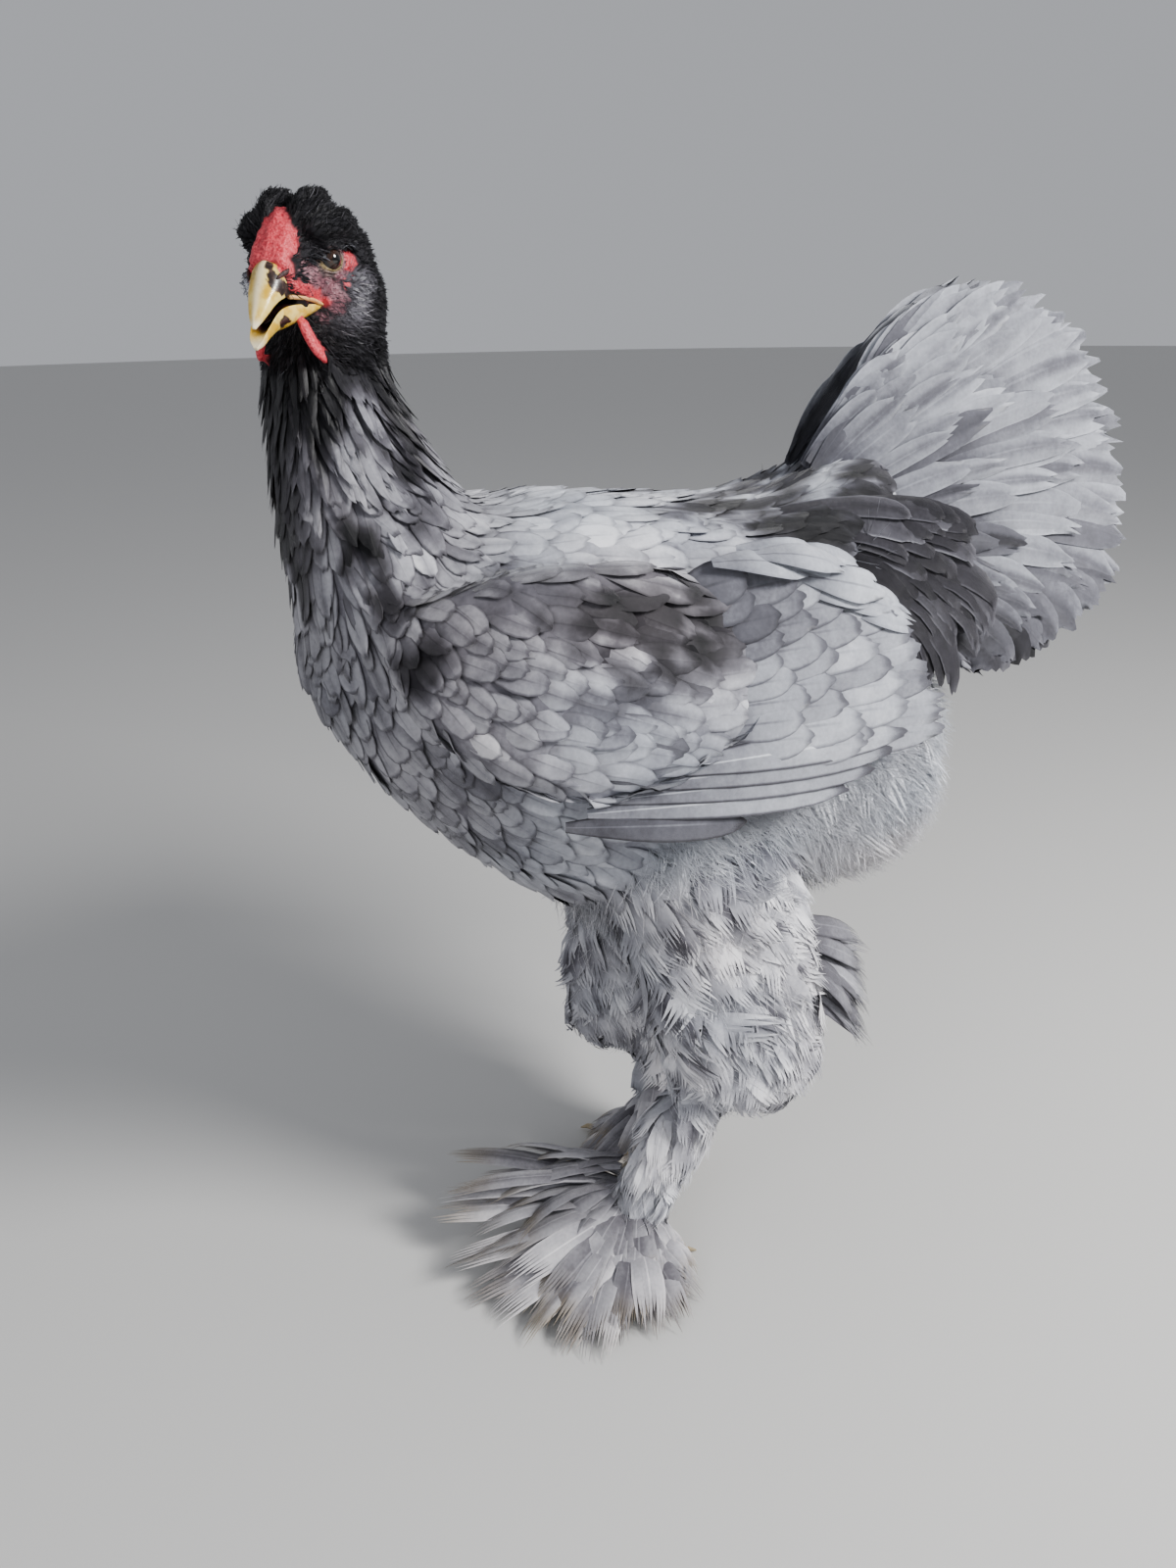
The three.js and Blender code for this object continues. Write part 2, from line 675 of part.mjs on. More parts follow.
const RECIPES = [
  ['eye_left', (g) => eye(LEFT, g), COLOURS.eye],
  ['eye_right', (g) => eye(RIGHT, g), COLOURS.eye],
  ['ear_lobe_left', (g) => earLobe(LEFT, g), COLOURS.slate],
  ['ear_lobe_right', (g) => earLobe(RIGHT, g), COLOURS.slate],
  ['wattle_left', (g) => wattle(LEFT, g), COLOURS.comb],
  ['wattle_right', (g) => wattle(RIGHT, g), COLOURS.comb],
  ['wing_left', (g) => wing(LEFT, g), COLOURS.blue],
  ['wing_right', (g) => wing(RIGHT, g), COLOURS.blue],
  ['head', (g) => (g ? grownBody : bodyPart('head')), COLOURS.black],
  ['neck', () => bodyPart('neck'), COLOURS.slate],
  ['saddle', () => bodyPart('saddle'), COLOURS.blue],
  ['trunk', () => bodyPart('trunk'), COLOURS.blue],
  ['stern_fluff', () => bodyPart('stern_fluff'), COLOURS.silver],
  ['comb', (g) => comb(g), COLOURS.comb],
  ['bill_upper', (g) => upperBill(g), COLOURS.horn],
  ['bill_lower', (g) => lowerBill(g), COLOURS.horn],
  ['thigh_left', (g) => thigh('left', g), COLOURS.blue],
  ['thigh_right', (g) => thigh('right', g), COLOURS.blue],
  ['wing_primaries_left', (g) => primaries(LEFT, g), COLOURS.silver],
  ['wing_primaries_right', (g) => primaries(RIGHT, g), COLOURS.silver],
  ['wing_secondaries_left', (g) => secondaries(LEFT, g), COLOURS.silver],
  ['wing_secondaries_right', (g) => secondaries(RIGHT, g), COLOURS.silver],
  ['tail_coverts_left', (g) => tailCoverts(LEFT, g), COLOURS.slate],
  ['tail_coverts_right', (g) => tailCoverts(RIGHT, g), COLOURS.slate],
  ['tail_left', (g) => tailHalf(LEFT, g), COLOURS.silver],
  ['tail_right', (g) => tailHalf(RIGHT, g), COLOURS.silver],
  ['tail_cushion', (g) => tailCushion(g), COLOURS.blue],
  ['hock_tuft_left', (g) => hockTuft(LEFT, 0, g), COLOURS.slate],
  ['hock_tuft_right', (g) => hockTuft(RIGHT, 6, g), COLOURS.slate],
  ['shank_left', (g) => shank(FOOT_LEFT, 36, g), COLOURS.silver],
  ['shank_right', (g) => shank(FOOT_RIGHT, 22, g), COLOURS.silver],
];

for (const [name, side] of SIDES) {
  const ankle = side === LEFT ? FOOT_LEFT : FOOT_RIGHT;
  for (const [toe, sizes] of Object.entries(TOES)) {
    RECIPES.push([`claw_${name}_${toe}`, (g) => claw(ankle, side, sizes, g), COLOURS.claw]);
  }
  RECIPES.push([`foot_${name}`, (g) => foot(ankle, side, g), COLOURS.horn]);
  RECIPES.push([`foot_feathers_${name}`, (g) => footFan(ankle, name, g), COLOURS.silver]);
}

const boxesMeet = (a, b) => [0, 1, 2].every((k) => a.min[k] <= b.max[k] + 1 && b.min[k] <= a.max[k] + 1);

const group = new THREE.Group();
const taken = [];
for (const [name, make, colour] of RECIPES) {
  const ofBody = name in BODY_PARTS;
  let solid = make(0);
  const box = solid.boundingBox();
  for (const other of taken) {
    if (boxesMeet(box, other.box) && !(ofBody && other.ofBody)) solid = solid.subtract(other.grown);
  }
  if (solid.isEmpty()) throw new Error(`${name} is hidden inside its neighbours`);
  if (name === 'head' || !ofBody) {
    const grown = make(GAP);
    taken.push({ grown, box: grown.boundingBox(), ofBody });
  }
  const material = new THREE.MeshStandardMaterial({ color: colour, roughness: 0.8, metalness: 0 });
  const mesh = new THREE.Mesh(geometryOf(mainBody(solid)), material);
  mesh.name = name;
  mesh.position.copy(MIDDLE_OF_BIRD).negate();
  group.add(mesh);
}

export default group;
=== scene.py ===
# %% [markdown]
# A blue brahma cockerel, standing, at life size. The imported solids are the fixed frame: they give the
# bird's outline out to its feather tips. Here they are melted into one smooth skin that lies a coat's
# depth inside them, and the coat is laid over the skin feather by feather, from the tiny ones on the face
# to the long ones of tail and foot. All feathers are meshes of their own, made as large joined pieces
# from arrays.

import math
import time

import bmesh
import bpy
import numpy as np
from mathutils import Matrix, Vector
from mathutils.bvhtree import BVHTree
from mathutils.kdtree import KDTree


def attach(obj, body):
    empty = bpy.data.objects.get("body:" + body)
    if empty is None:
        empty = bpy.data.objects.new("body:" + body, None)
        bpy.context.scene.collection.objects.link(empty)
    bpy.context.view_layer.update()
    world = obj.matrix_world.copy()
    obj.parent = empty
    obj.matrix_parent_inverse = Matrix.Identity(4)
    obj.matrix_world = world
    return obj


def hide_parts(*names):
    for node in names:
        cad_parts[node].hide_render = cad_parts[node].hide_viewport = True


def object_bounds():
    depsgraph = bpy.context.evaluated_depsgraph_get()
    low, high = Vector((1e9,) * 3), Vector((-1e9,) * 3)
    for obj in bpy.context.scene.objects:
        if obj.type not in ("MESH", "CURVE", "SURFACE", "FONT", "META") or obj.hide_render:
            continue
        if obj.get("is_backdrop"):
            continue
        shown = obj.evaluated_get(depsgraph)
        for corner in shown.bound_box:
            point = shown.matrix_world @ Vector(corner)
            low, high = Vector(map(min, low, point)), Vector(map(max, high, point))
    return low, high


STARTED = time.perf_counter()
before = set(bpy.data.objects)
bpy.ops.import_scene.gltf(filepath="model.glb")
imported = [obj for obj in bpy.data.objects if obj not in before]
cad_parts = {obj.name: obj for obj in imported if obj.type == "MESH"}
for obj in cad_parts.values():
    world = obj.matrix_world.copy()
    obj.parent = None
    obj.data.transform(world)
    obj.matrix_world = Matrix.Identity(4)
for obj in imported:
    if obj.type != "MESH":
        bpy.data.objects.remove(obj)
CAD_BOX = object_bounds()
print("frame box", [list(corner) for corner in CAD_BOX])

# %% [markdown]
# The numbers below are in the bird's own plan, in millimetres: x is to its left, y to its tail and z up,
# with the breast at the front. The frame's origin is the middle of the bird's box, a little behind the
# plan's own.

# %% Units and small helpers
MM = 0.001
MIDDLE = np.array((0.0, 107.1, 0.0))
FULL_TURN = 2 * math.pi
SIDES = (1, -1)


def to_frame(plan):
    return (np.asarray(plan, float) - MIDDLE) * MM


def to_plan(points):
    return np.asarray(points, float) / MM + MIDDLE


def unit(vectors):
    vectors = np.asarray(vectors, float)
    return vectors / np.maximum(np.linalg.norm(vectors, axis=-1, keepdims=True), 1e-12)


def columns(x, y, z):
    """Points in rows, from their x, y and z, of which some may be single numbers."""
    return np.stack(np.broadcast_arrays(x, y, z), axis=1).astype(float)


def placed(name, data):
    """A new object in the scene, at the origin."""
    thing = bpy.data.objects.new(name, data)
    bpy.context.scene.collection.objects.link(thing)
    return thing


# %% [markdown]
# The camera stands at the photograph's place: level with the bird's head, in front of its left shoulder,
# looking down at about 22 degrees. The lens is set from the picture's height, so the sensor fits
# vertically.

# %% Camera
IMAGE_HEIGHT = 1600
FOCAL_PIXELS = 1280
SENSOR = 36.0
CAMERA_SPOT = (719.2, -252.9, 650.0)
CAMERA_TURN = math.radians(20)
CAMERA_TILT = math.radians(21.6)
CAMERA_ROLL = math.radians(-1.0)


def make_camera():
    ahead = np.array((-math.cos(CAMERA_TURN), math.sin(CAMERA_TURN), 0.0))
    level = np.array((math.sin(CAMERA_TURN), math.cos(CAMERA_TURN), 0.0))
    forward = ahead * math.cos(CAMERA_TILT) - np.array((0, 0, math.sin(CAMERA_TILT)))
    down = -ahead * math.sin(CAMERA_TILT) - np.array((0, 0, math.cos(CAMERA_TILT)))
    right = level * math.cos(CAMERA_ROLL) - down * math.sin(CAMERA_ROLL)
    lower = down * math.cos(CAMERA_ROLL) + level * math.sin(CAMERA_ROLL)
    data = bpy.data.cameras.new("camera")
    data.sensor_fit = "VERTICAL"
    data.sensor_height = SENSOR
    data.lens = FOCAL_PIXELS / IMAGE_HEIGHT * SENSOR
    data.clip_start = 0.01
    camera = placed("camera", data)
    turn = Matrix([[right[i], -lower[i], -forward[i]] for i in range(3)]).to_4x4()
    camera.matrix_world = Matrix.Translation(Vector(to_frame(CAMERA_SPOT))) @ turn
    bpy.context.scene.camera = camera
    return camera


camera = make_camera()
print("lens", round(camera.data.lens, 2), "mm")

# %% [markdown]
# Studio: a pale sky of even light, one broad soft lamp above the bird's left side, as the daylight falls
# in the picture, and a weaker one from the front. The floor is a wide plain sheet.

# %% Light and floor
SKY_TINT = (0.93, 0.95, 1.0, 1.0)
SKY_STRENGTH = 0.40
LAMPS = (
    # name, place, what it is aimed at, size, power and tint
    ("key", (1.35, 1.2, 1.55), (0.0, 0.0, 0.35), 0.7, 60.0, (1.0, 0.99, 0.97)),
    ("fill", (1.4, -1.5, 1.2), (0.0, -0.1, 0.4), 1.2, 9.0, (0.94, 0.97, 1.0)),
)
FLOOR_RADIUS = 14.0
FLOOR_BELOW = 0.0002
FLOOR_COLOUR = (0.60, 0.595, 0.585, 1)
FLOOR_ROUGHNESS = 0.9


def make_sky():
    world = bpy.data.worlds.new("studio")
    bpy.context.scene.world = world
    world.use_nodes = True
    sky = world.node_tree.nodes["Background"]
    sky.inputs["Color"].default_value = SKY_TINT
    sky.inputs["Strength"].default_value = SKY_STRENGTH


def make_lamp(name, place, aim, size, power, tint):
    data = bpy.data.lights.new(name, "AREA")
    data.shape = "DISK"
    data.size = size
    data.energy = power
    data.color = tint
    lamp = placed(name, data)
    lamp.location = place
    lamp.rotation_mode = "QUATERNION"
    lamp.rotation_quaternion = (Vector(aim) - Vector(place)).to_track_quat("-Z", "Y")


def make_floor():
    shape = bmesh.new()
    bmesh.ops.create_circle(shape, cap_ends=True, segments=96, radius=FLOOR_RADIUS)
    bmesh.ops.translate(shape, verts=shape.verts, vec=(0, 0, -FLOOR_BELOW))
    mesh = bpy.data.meshes.new("floor")
    shape.to_mesh(mesh)
    shape.free()
    floor = placed("floor", mesh)
    paint = bpy.data.materials.new("floor_paint")
    paint.use_nodes = True
    shader = paint.node_tree.nodes["Principled BSDF"]
    shader.inputs["Base Color"].default_value = FLOOR_COLOUR
    shader.inputs["Roughness"].default_value = FLOOR_ROUGHNESS
    mesh.materials.append(paint)
    floor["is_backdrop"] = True


make_sky()
for lamp in LAMPS:
    make_lamp(*lamp)
make_floor()
bpy.context.scene.view_settings.look = "AgX - Medium High Contrast"

# %% [markdown]
# Shader maths is easiest to read as plain expressions. `Socket` wraps one output of a node tree, and `+`,
# `-` and `*` add the Math node that they stand for. Any other node comes from `node`.

# %% Shader helper
class Tree:
    def __init__(self, name):
        self.material = bpy.data.materials.new(name)
        self.material.use_nodes = True
        self.nodes = self.material.node_tree.nodes
        self.links = self.material.node_tree.links
        self.shader = self.nodes["Principled BSDF"]

    def put(self, socket, value):
        if isinstance(value, Socket):
            self.links.new(value.socket, socket)
        else:
            socket.default_value = value

    def node(self, kind, settings=None, inputs=None, output=0):
        made = self.nodes.new(kind)
        for key, value in (settings or {}).items():
            if key == "stops":
                ramp = made.color_ramp
                while len(ramp.elements) < len(value):
                    ramp.elements.new(1.0)
                for element, (place, colour) in zip(ramp.elements, value):
                    element.position = place
                    element.color = (*colour, 1)
            else:
                setattr(made, key, value)
        for key, value in (inputs or {}).items():
            self.put(made.inputs[key], value)
        return Socket(self, made.outputs[output])

    def attribute(self, name):
        return self.node("ShaderNodeAttribute", {"attribute_name": name}, output="Fac")

    def uv(self, name):
        place = self.node("ShaderNodeUVMap", {"uv_map": name})
        split = self.nodes.new("ShaderNodeSeparateXYZ")
        self.links.new(place.socket, split.inputs[0])
        return Socket(self, split.outputs["X"]), Socket(self, split.outputs["Y"])

    def mix(self, factor, first, second, blend="MIX"):
        made = self.nodes.new("ShaderNodeMix")
        made.data_type = "RGBA"
        made.blend_type = blend
        made.clamp_factor = True
        self.put(made.inputs[0], factor)
        self.put(made.inputs[6], first if isinstance(first, Socket) else (*first, 1))
        self.put(made.inputs[7], second if isinstance(second, Socket) else (*second, 1))
        return Socket(self, made.outputs[2])

    def noise(self, scale, detail=2.0, place=None, roughness=0.5):
        place = place or self.place()
        inputs = {"Vector": place, "Scale": scale, "Detail": detail, "Roughness": roughness}
        return self.node("ShaderNodeTexNoise", {}, inputs)

    def place(self):
        return self.node("ShaderNodeTexCoord", output="Object")

    def bump(self, height, depth, strength=1.0):
        inputs = {"Height": height, "Distance": depth, "Strength": strength}
        self.put(self.shader.inputs["Normal"], self.node("ShaderNodeBump", {}, inputs))

    def finish(self, **values):
        for key, value in values.items():
            socket = self.shader.inputs[key.replace("_", " ")]
            if isinstance(value, tuple) and len(value) == 3 and len(socket.default_value) == 4:
                value = (*value, 1)
            self.put(socket, value)
        return self.material


class Socket:
    def __init__(self, tree, socket):
        self.tree = tree
        self.socket = socket

    def math(self, operation, *others, flipped=False):
        made = self.tree.nodes.new("ShaderNodeMath")
        made.operation = operation
        values = [self, *others]
        if flipped:
            values.reverse()
        for socket, value in zip(made.inputs, values):
            self.tree.put(socket, value)
        return Socket(self.tree, made.outputs[0])

    def __add__(self, other):
        return self.math("ADD", other)

    def __sub__(self, other):
        return self.math("SUBTRACT", other)

    def __rsub__(self, other):
        return self.math("SUBTRACT", other, flipped=True)

    def __mul__(self, other):
        return self.math("MULTIPLY", other)

    def step(self, low, high):
        inputs = {"Value": self, "From Min": low, "From Max": high}
        return self.tree.node("ShaderNodeMapRange", {"interpolation_type": "SMOOTHSTEP"}, inputs)

    def ramp(self, *stops):
        return self.tree.node("ShaderNodeValToRGB", {"stops": stops}, {"Fac": self})


# %% [markdown]
# Noise without tables: a few sine waves in random directions, added up. It is smooth, the same on every
# run, and quick for thousands of points at once.

# %% Noise
WAVES = 7
WAVE_RANGE = (0.6, 1.5)
WAVE_HEIGHT = 0.8


def ripple(plan, size, seed, stretch=(1, 1, 1)):
    """Smooth noise of about -1 to 1 over points in the plan, in blotches about `size` millimetres across."""
    draw = np.random.default_rng(seed)
    usual = FULL_TURN / (2.2 * size)
    turns = unit(draw.normal(size=(WAVES, 3))) * usual * draw.uniform(*WAVE_RANGE, (WAVES, 1))
    phases = draw.uniform(0, FULL_TURN, WAVES)
    waves = np.sin((plan / np.array(stretch)) @ turns.T + phases)
    return waves.sum(axis=1) / math.sqrt(WAVES) * WAVE_HEIGHT


def blob(plan, centre, radii):
    """1 at a centre, falling away to 0 over the radii, the same on the bird's left and right."""
    near = plan.copy()
    near[:, 0] = np.abs(near[:, 0])
    return np.exp(-(((near - np.array(centre)) / np.array(radii)) ** 2).sum(axis=1))


def fade(values, low, high):
    """0 below `low`, 1 above `high`, smooth between."""
    t = np.clip((values - low) / (high - low), 0, 1)
    return t * t * (3 - 2 * t)


# %% [markdown]
# The head turns to the bird's left and nods a little, so all that is on it is placed in a frame of its
# own: the point between the eyes is the origin, x is to the bird's left, the bill points to -y, and z is
# up.

# %% Head frame
HEAD_CENTRE = np.array((15.0, -150.0, 661.0))
HEAD_TURN = math.radians(54)
HEAD_NOD = math.radians(9)
HEAD = np.array(Matrix.Rotation(HEAD_TURN, 3, "Z") @ Matrix.Rotation(HEAD_NOD, 3, "X"))
EYE = np.array((17.8, -2.0, 5.0))
GAZE = unit((0.90, -0.43, 0.02))
EYE_RADIUS = 7.4
LID_OPENING = (math.radians(50), math.radians(34))


def from_head(places):
    return np.asarray(places, float) @ HEAD.T + HEAD_CENTRE


def in_head(plan):
    return (plan - HEAD_CENTRE) @ HEAD


def round_eye(places):
    """For points of the head's frame: distance from the nearer eye, angle off its gaze, share up and back."""
    near = places.copy()
    near[:, 0] = np.abs(near[:, 0])
    off = near - EYE
    distance = np.linalg.norm(off, axis=1)
    ahead = off @ GAZE
    angle = np.arccos(np.clip(ahead / np.maximum(distance, 1e-6), -1, 1))
    back = off @ unit(np.cross((0, 0, 1), GAZE))
    up = off @ unit(np.cross(GAZE, np.cross((0, 0, 1), GAZE)))
    level = np.maximum(np.hypot(up, back), 1e-6)
    return distance, angle, up / level, back / level


def lid_edge(up, back):
    """The angle off the gaze at which the lids begin: an oval that is wider than it is high."""
    wide, high = LID_OPENING
    return 1 / np.sqrt((back / wide) ** 2 + (up / high) ** 2)


BARE_PATCHES = (
    # centre and radii of what has no feathers: round and behind the eye, lore, gape and the comb's foot
    ((22, -4, 4), (8, 12, 10)), ((24, 5, -1), (7, 8, 9)), ((20, -16, -4), (8, 9, 9)),
    ((17, -16, -14), (7, 9, 6)), ((9, -28, 3), (8, 7, 12)), ((9, -30, -20), (7, 8, 7)),
    ((8, -18, 10), (5, 12, 7)),
)


def bare_skin(plan):
    place = in_head(plan)
    near = [blob(place, centre, radii) for centre, radii in BARE_PATCHES]
    return fade(np.max(near, axis=0), 0.3, 0.5)


# %% [markdown]
# The small smooth bodies of the head, such as lids, eyes and bill, could each be sculpted. Here they all
# start as one flat grid from bmesh, which a function of two numbers wraps to its shape. Then the seam is
# welded and the ends are closed. A curve through a few given points leads those that taper.

# %% Wrapped grid
def wrapped(around, along, place, **traits):
    """A closed body from a grid: `place(turn, t)` puts its points in the head's frame, each from 0 to 1."""
    shape = bmesh.new()
    bmesh.ops.create_grid(shape, x_segments=around, y_segments=along, size=1.0)
    turn = np.array([(v.co.x + 1) / 2 for v in shape.verts])
    t = np.array([(v.co.y + 1) / 2 for v in shape.verts])
    points = place(turn, t)
    for key, trait in traits.items():
        layer = shape.verts.layers.float.new(key)
        for vertex, value in zip(shape.verts, trait(turn, t, points)):
            vertex[layer] = value
    for vertex, point in zip(shape.verts, to_frame(from_head(points))):
        vertex.co = point
    bmesh.ops.remove_doubles(shape, verts=shape.verts, dist=1e-6)
    open_edges = [edge for edge in shape.edges if edge.is_boundary]
    if open_edges:
        bmesh.ops.holes_fill(shape, edges=open_edges)
    bmesh.ops.recalc_face_normals(shape, faces=shape.faces)
    return shape


def along_curve(points, places):
    """Points on a smooth curve through a few given ones, at places from 0 to 1."""
    points = np.asarray(points, float)
    padded = np.vstack([2 * points[0] - points[1], points, 2 * points[-1] - points[-2]])
    place = np.clip(np.asarray(places, float), 0, 1) * (len(points) - 1)
    low = np.clip(place.astype(int), 0, len(points) - 2)
    t = (place - low)[:, None]
    a, b, c, d = (padded[low + k] for k in range(4))
    return 0.5 * (2 * b + (c - a) * t + (2 * a - 5 * b + 4 * c - d) * t**2 + (3 * b - 3 * c + d - a) * t**3)


def as_mesh(shape, name):
    mesh = bpy.data.meshes.new(name)
    shape.to_mesh(mesh)
    shape.free()
    mesh.polygons.foreach_set("use_smooth", np.ones(len(mesh.polygons), bool))
    return mesh


def round_gaze(turn, angle, radius, side):
    """Points of the head's frame round an eye: `turn` from 0 to 1 round its gaze, `angle` off it."""
    rear = unit(np.cross((0, 0, 1), GAZE))
    high = np.cross(GAZE, rear)
    ring = rear * np.cos(FULL_TURN * turn)[:, None] + high * np.sin(FULL_TURN * turn)[:, None]
    points = EYE + (GAZE * np.cos(angle)[:, None] + ring * np.sin(angle)[:, None]) * radius[:, None]
    return points * np.array((side, 1, 1))


LID_REACH = math.radians(98)
LID_MIDDLE = 7.7
LID_HALF = 1.1


def lid_shell(side):
    """Both lids of one eye: a thick shell round the eyeball, open in front."""

    def place(turn, t):
        up, back = np.sin(FULL_TURN * turn), np.cos(FULL_TURN * turn)
        edge = lid_edge(up, back)
        cos, sin = np.cos(FULL_TURN * t), np.sin(FULL_TURN * t)
        angle = (edge + LID_REACH) / 2 - (LID_REACH - edge) / 2 * np.sign(cos) * np.abs(cos) ** 0.8
        radius = LID_MIDDLE + LID_HALF * np.sign(sin) * np.abs(sin) ** 0.5
        return round_gaze(turn, angle, radius, side)

    return as_mesh(wrapped(48, 24, place), "lid")


# %% [markdown]
# The skin. The nodes of flesh are copied, the lids are added to them as two thick shells round the eyes,
# and the whole is melted into one body by a voxel remesh, fine enough for a lid. Away from the head and
# feet such a fine mesh is a waste, so a Decimate modifier thins it there, and round the eyes it is
# divided once more for the folds. Smoothing takes the facets away, and the surface is then drawn in by
# the depth of the coat there.

# %% Skin
BARE_DEPTH = 0.5
COAT_DEPTH = {
    # millimetres under each node of flesh
    "head": 2.0, "comb": BARE_DEPTH, "wattle_left": BARE_DEPTH, "wattle_right": BARE_DEPTH,
    "ear_lobe_left": 2.0, "ear_lobe_right": 2.0, "neck": 4.0, "trunk": 6.0, "saddle": 6.0,
    "stern_fluff": 17.0, "wing_left": 5.0, "wing_right": 5.0, "thigh_left": 13.0, "thigh_right": 13.0,
    "shank_left": 9.0, "shank_right": 9.0, "foot_left": BARE_DEPTH, "foot_right": BARE_DEPTH,
}
FLESH = list(COAT_DEPTH)
RED_PARTS = ("comb", "wattle_left", "wattle_right")
SWELL = 0.5 * MM
VOXEL = 1.25 * MM
SKIN_TRIANGLES = 128000
FINE_HEAD = 50.0
FINE_FEET = 36.0
EYE_ZONES = (17.0, 12.5)


def flesh_copy():
    """The nodes of flesh in one mesh, and for each of its faces the number of the node it comes from."""
    whole = bmesh.new()
    labels = []
    for number, name in enumerate(FLESH):
        part = bmesh.new()
        part.from_mesh(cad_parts[name].data)
        bmesh.ops.remove_doubles(part, verts=part.verts, dist=1e-5)
        part.normal_update()
        for vertex in part.verts:
            vertex.co += vertex.normal * SWELL
        loose = bpy.data.meshes.new("part")
        part.to_mesh(loose)
        labels += [number] * len(part.faces)
        part.free()
        whole.from_mesh(loose)
        bpy.data.meshes.remove(loose)
    for side in SIDES:
        lid = lid_shell(side)
        labels += [FLESH.index("head")] * len(lid.polygons)
        whole.from_mesh(lid)
        bpy.data.meshes.remove(lid)
    mesh = bpy.data.meshes.new("flesh")
    whole.to_mesh(mesh)
    whole.free()
    return mesh, np.array(labels)


def evaluated(mesh, kind, settings, kept=None):
    """A mesh as it is after a modifier of some type, which leaves the vertices in `kept` alone."""
    holder = placed("holder", mesh)
    modifier = holder.modifiers.new(kind, kind)
    for key, value in settings.items():
        setattr(modifier, key, value)
    if kept is not None:
        holder.vertex_groups.new(name="kept").add(kept.tolist(), 1.0, "REPLACE")
        modifier.vertex_group = "kept"
        modifier.invert_vertex_group = True
    done = bpy.data.meshes.new_from_object(holder.evaluated_get(bpy.context.evaluated_depsgraph_get()))
    bpy.data.objects.remove(holder)
    return done


def labelled(label, *names):
    """Where the label is that of one of the named nodes."""
    return np.isin(label, [FLESH.index(name) for name in names])


def read(items, key, width=3, kind=float):
    """One property of all items of a mesh, as rows of numbers."""
    values = np.empty(len(items) * width, np.float32 if kind is float else np.int32)
    items.foreach_get(key, values)
    return values.reshape(-1, width).astype(kind)


def blurred(values, edges, rounds):
    """Values at the vertices, averaged with their neighbours' as often as `rounds` says for each."""
    values = np.array(values, float)
    count = np.bincount(edges.ravel(), minlength=len(values)).astype(float)
    rounds = np.broadcast_to(rounds, (len(values),))
    ends = np.concatenate([edges[:, 0], edges[:, 1]])
    others = np.concatenate([edges[:, 1], edges[:, 0]])
    tracks = values.reshape(len(values), -1).T.copy()
    for number in range(int(rounds.max())):
        moving = rounds > number
        for track in tracks:
            share = np.bincount(ends, track[others], len(track)) / count
            track[moving] = 0.5 * track[moving] + 0.5 * share[moving]
    return tracks.T.reshape(values.shape)


def divided(mesh, chosen):
    """The mesh with each chosen face in four."""
    shape = bmesh.new()
    shape.from_mesh(mesh)
    shape.faces.ensure_lookup_table()
    edges = list({edge for number in np.flatnonzero(chosen) for edge in shape.faces[number].edges})
    bmesh.ops.subdivide_edges(shape, edges=edges, cuts=1, use_grid_fill=True)
    bmesh.ops.triangulate(shape, faces=[face for face in shape.faces if len(face.verts) > 4])
    bpy.data.meshes.remove(mesh)
    return as_mesh(shape, "skin")


def make_skin_mesh():
    flesh, labels = flesh_copy()
    source = BVHTree.FromPolygons([v.co for v in flesh.vertices], [p.vertices for p in flesh.polygons])
    fine = evaluated(flesh, "REMESH", {"mode": "VOXEL", "voxel_size": VOXEL})
    plan = to_plan(read(fine.vertices, "co"))
    kept = np.flatnonzero((np.linalg.norm(in_head(plan), axis=1) < FINE_HEAD) | (plan[:, 2] < FINE_FEET))
    ratio = SKIN_TRIANGLES / (2 * len(fine.polygons))
    print("fine", len(fine.polygons), "kept", len(kept), round(time.perf_counter() - STARTED, 1), "s")
    mesh = evaluated(fine, "DECIMATE", {"ratio": ratio}, kept)
    print("thinned", len(mesh.polygons), round(time.perf_counter() - STARTED, 1), "s")
    for zone in EYE_ZONES:
        mesh = divided(mesh, round_eye(in_head(to_plan(read(mesh.polygons, "center"))))[0] < zone)
    points = read(mesh.vertices, "co")
    label = np.array([labels[source.find_nearest(Vector(p))[2]] for p in points])
    plan = to_plan(points)
    edges = read(mesh.edges, "vertices", 2, int)
    head = np.linalg.norm(in_head(plan), axis=1)
    soft = fade(head, FINE_HEAD - 6, FINE_HEAD + 16)
    soft = np.minimum(soft, fade(plan[:, 2], FINE_FEET - 6, FINE_FEET + 14))
    extra = 5 * fade(-round_eye(in_head(plan))[0], -EYE_ZONES[0], -EYE_ZONES[1])
    bare = bare_skin(plan) * (head < FINE_HEAD)
    plumed = (1 - bare) * (1 - labelled(label, *RED_PARTS))
    points = blurred(points, edges, np.rint(4 + 18 * soft + extra + 10 * plumed * (1 - soft)))
    depth = np.array([COAT_DEPTH[name] for name in FLESH])[label]
    depth = np.minimum(depth, BARE_DEPTH + 20 * (1 - bare)) * (1 - bare) + BARE_DEPTH * bare
    depth = blurred(depth, edges, 8)
    mesh.vertices.foreach_set("co", points.ravel())
    mesh.update()
    points = points - read(mesh.vertex_normals, "vector") * (depth * MM)[:, None]
    points = blurred(points, edges, np.rint(3 * soft))
    mesh.vertices.foreach_set("co", points.ravel())
    mesh.update()
    for unused in (flesh, fine):
        bpy.data.meshes.remove(unused)
    return mesh, label


skin_mesh, skin_label = make_skin_mesh()
print("skin", len(skin_mesh.vertices), "vertices", round(time.perf_counter() - STARTED, 1), "s")

# %% [markdown]
# Folds are pressed into the skin along its normals: rings in the lids, a swollen rim round the eye, the
# flange over the gape, and the small bumps of the comb.

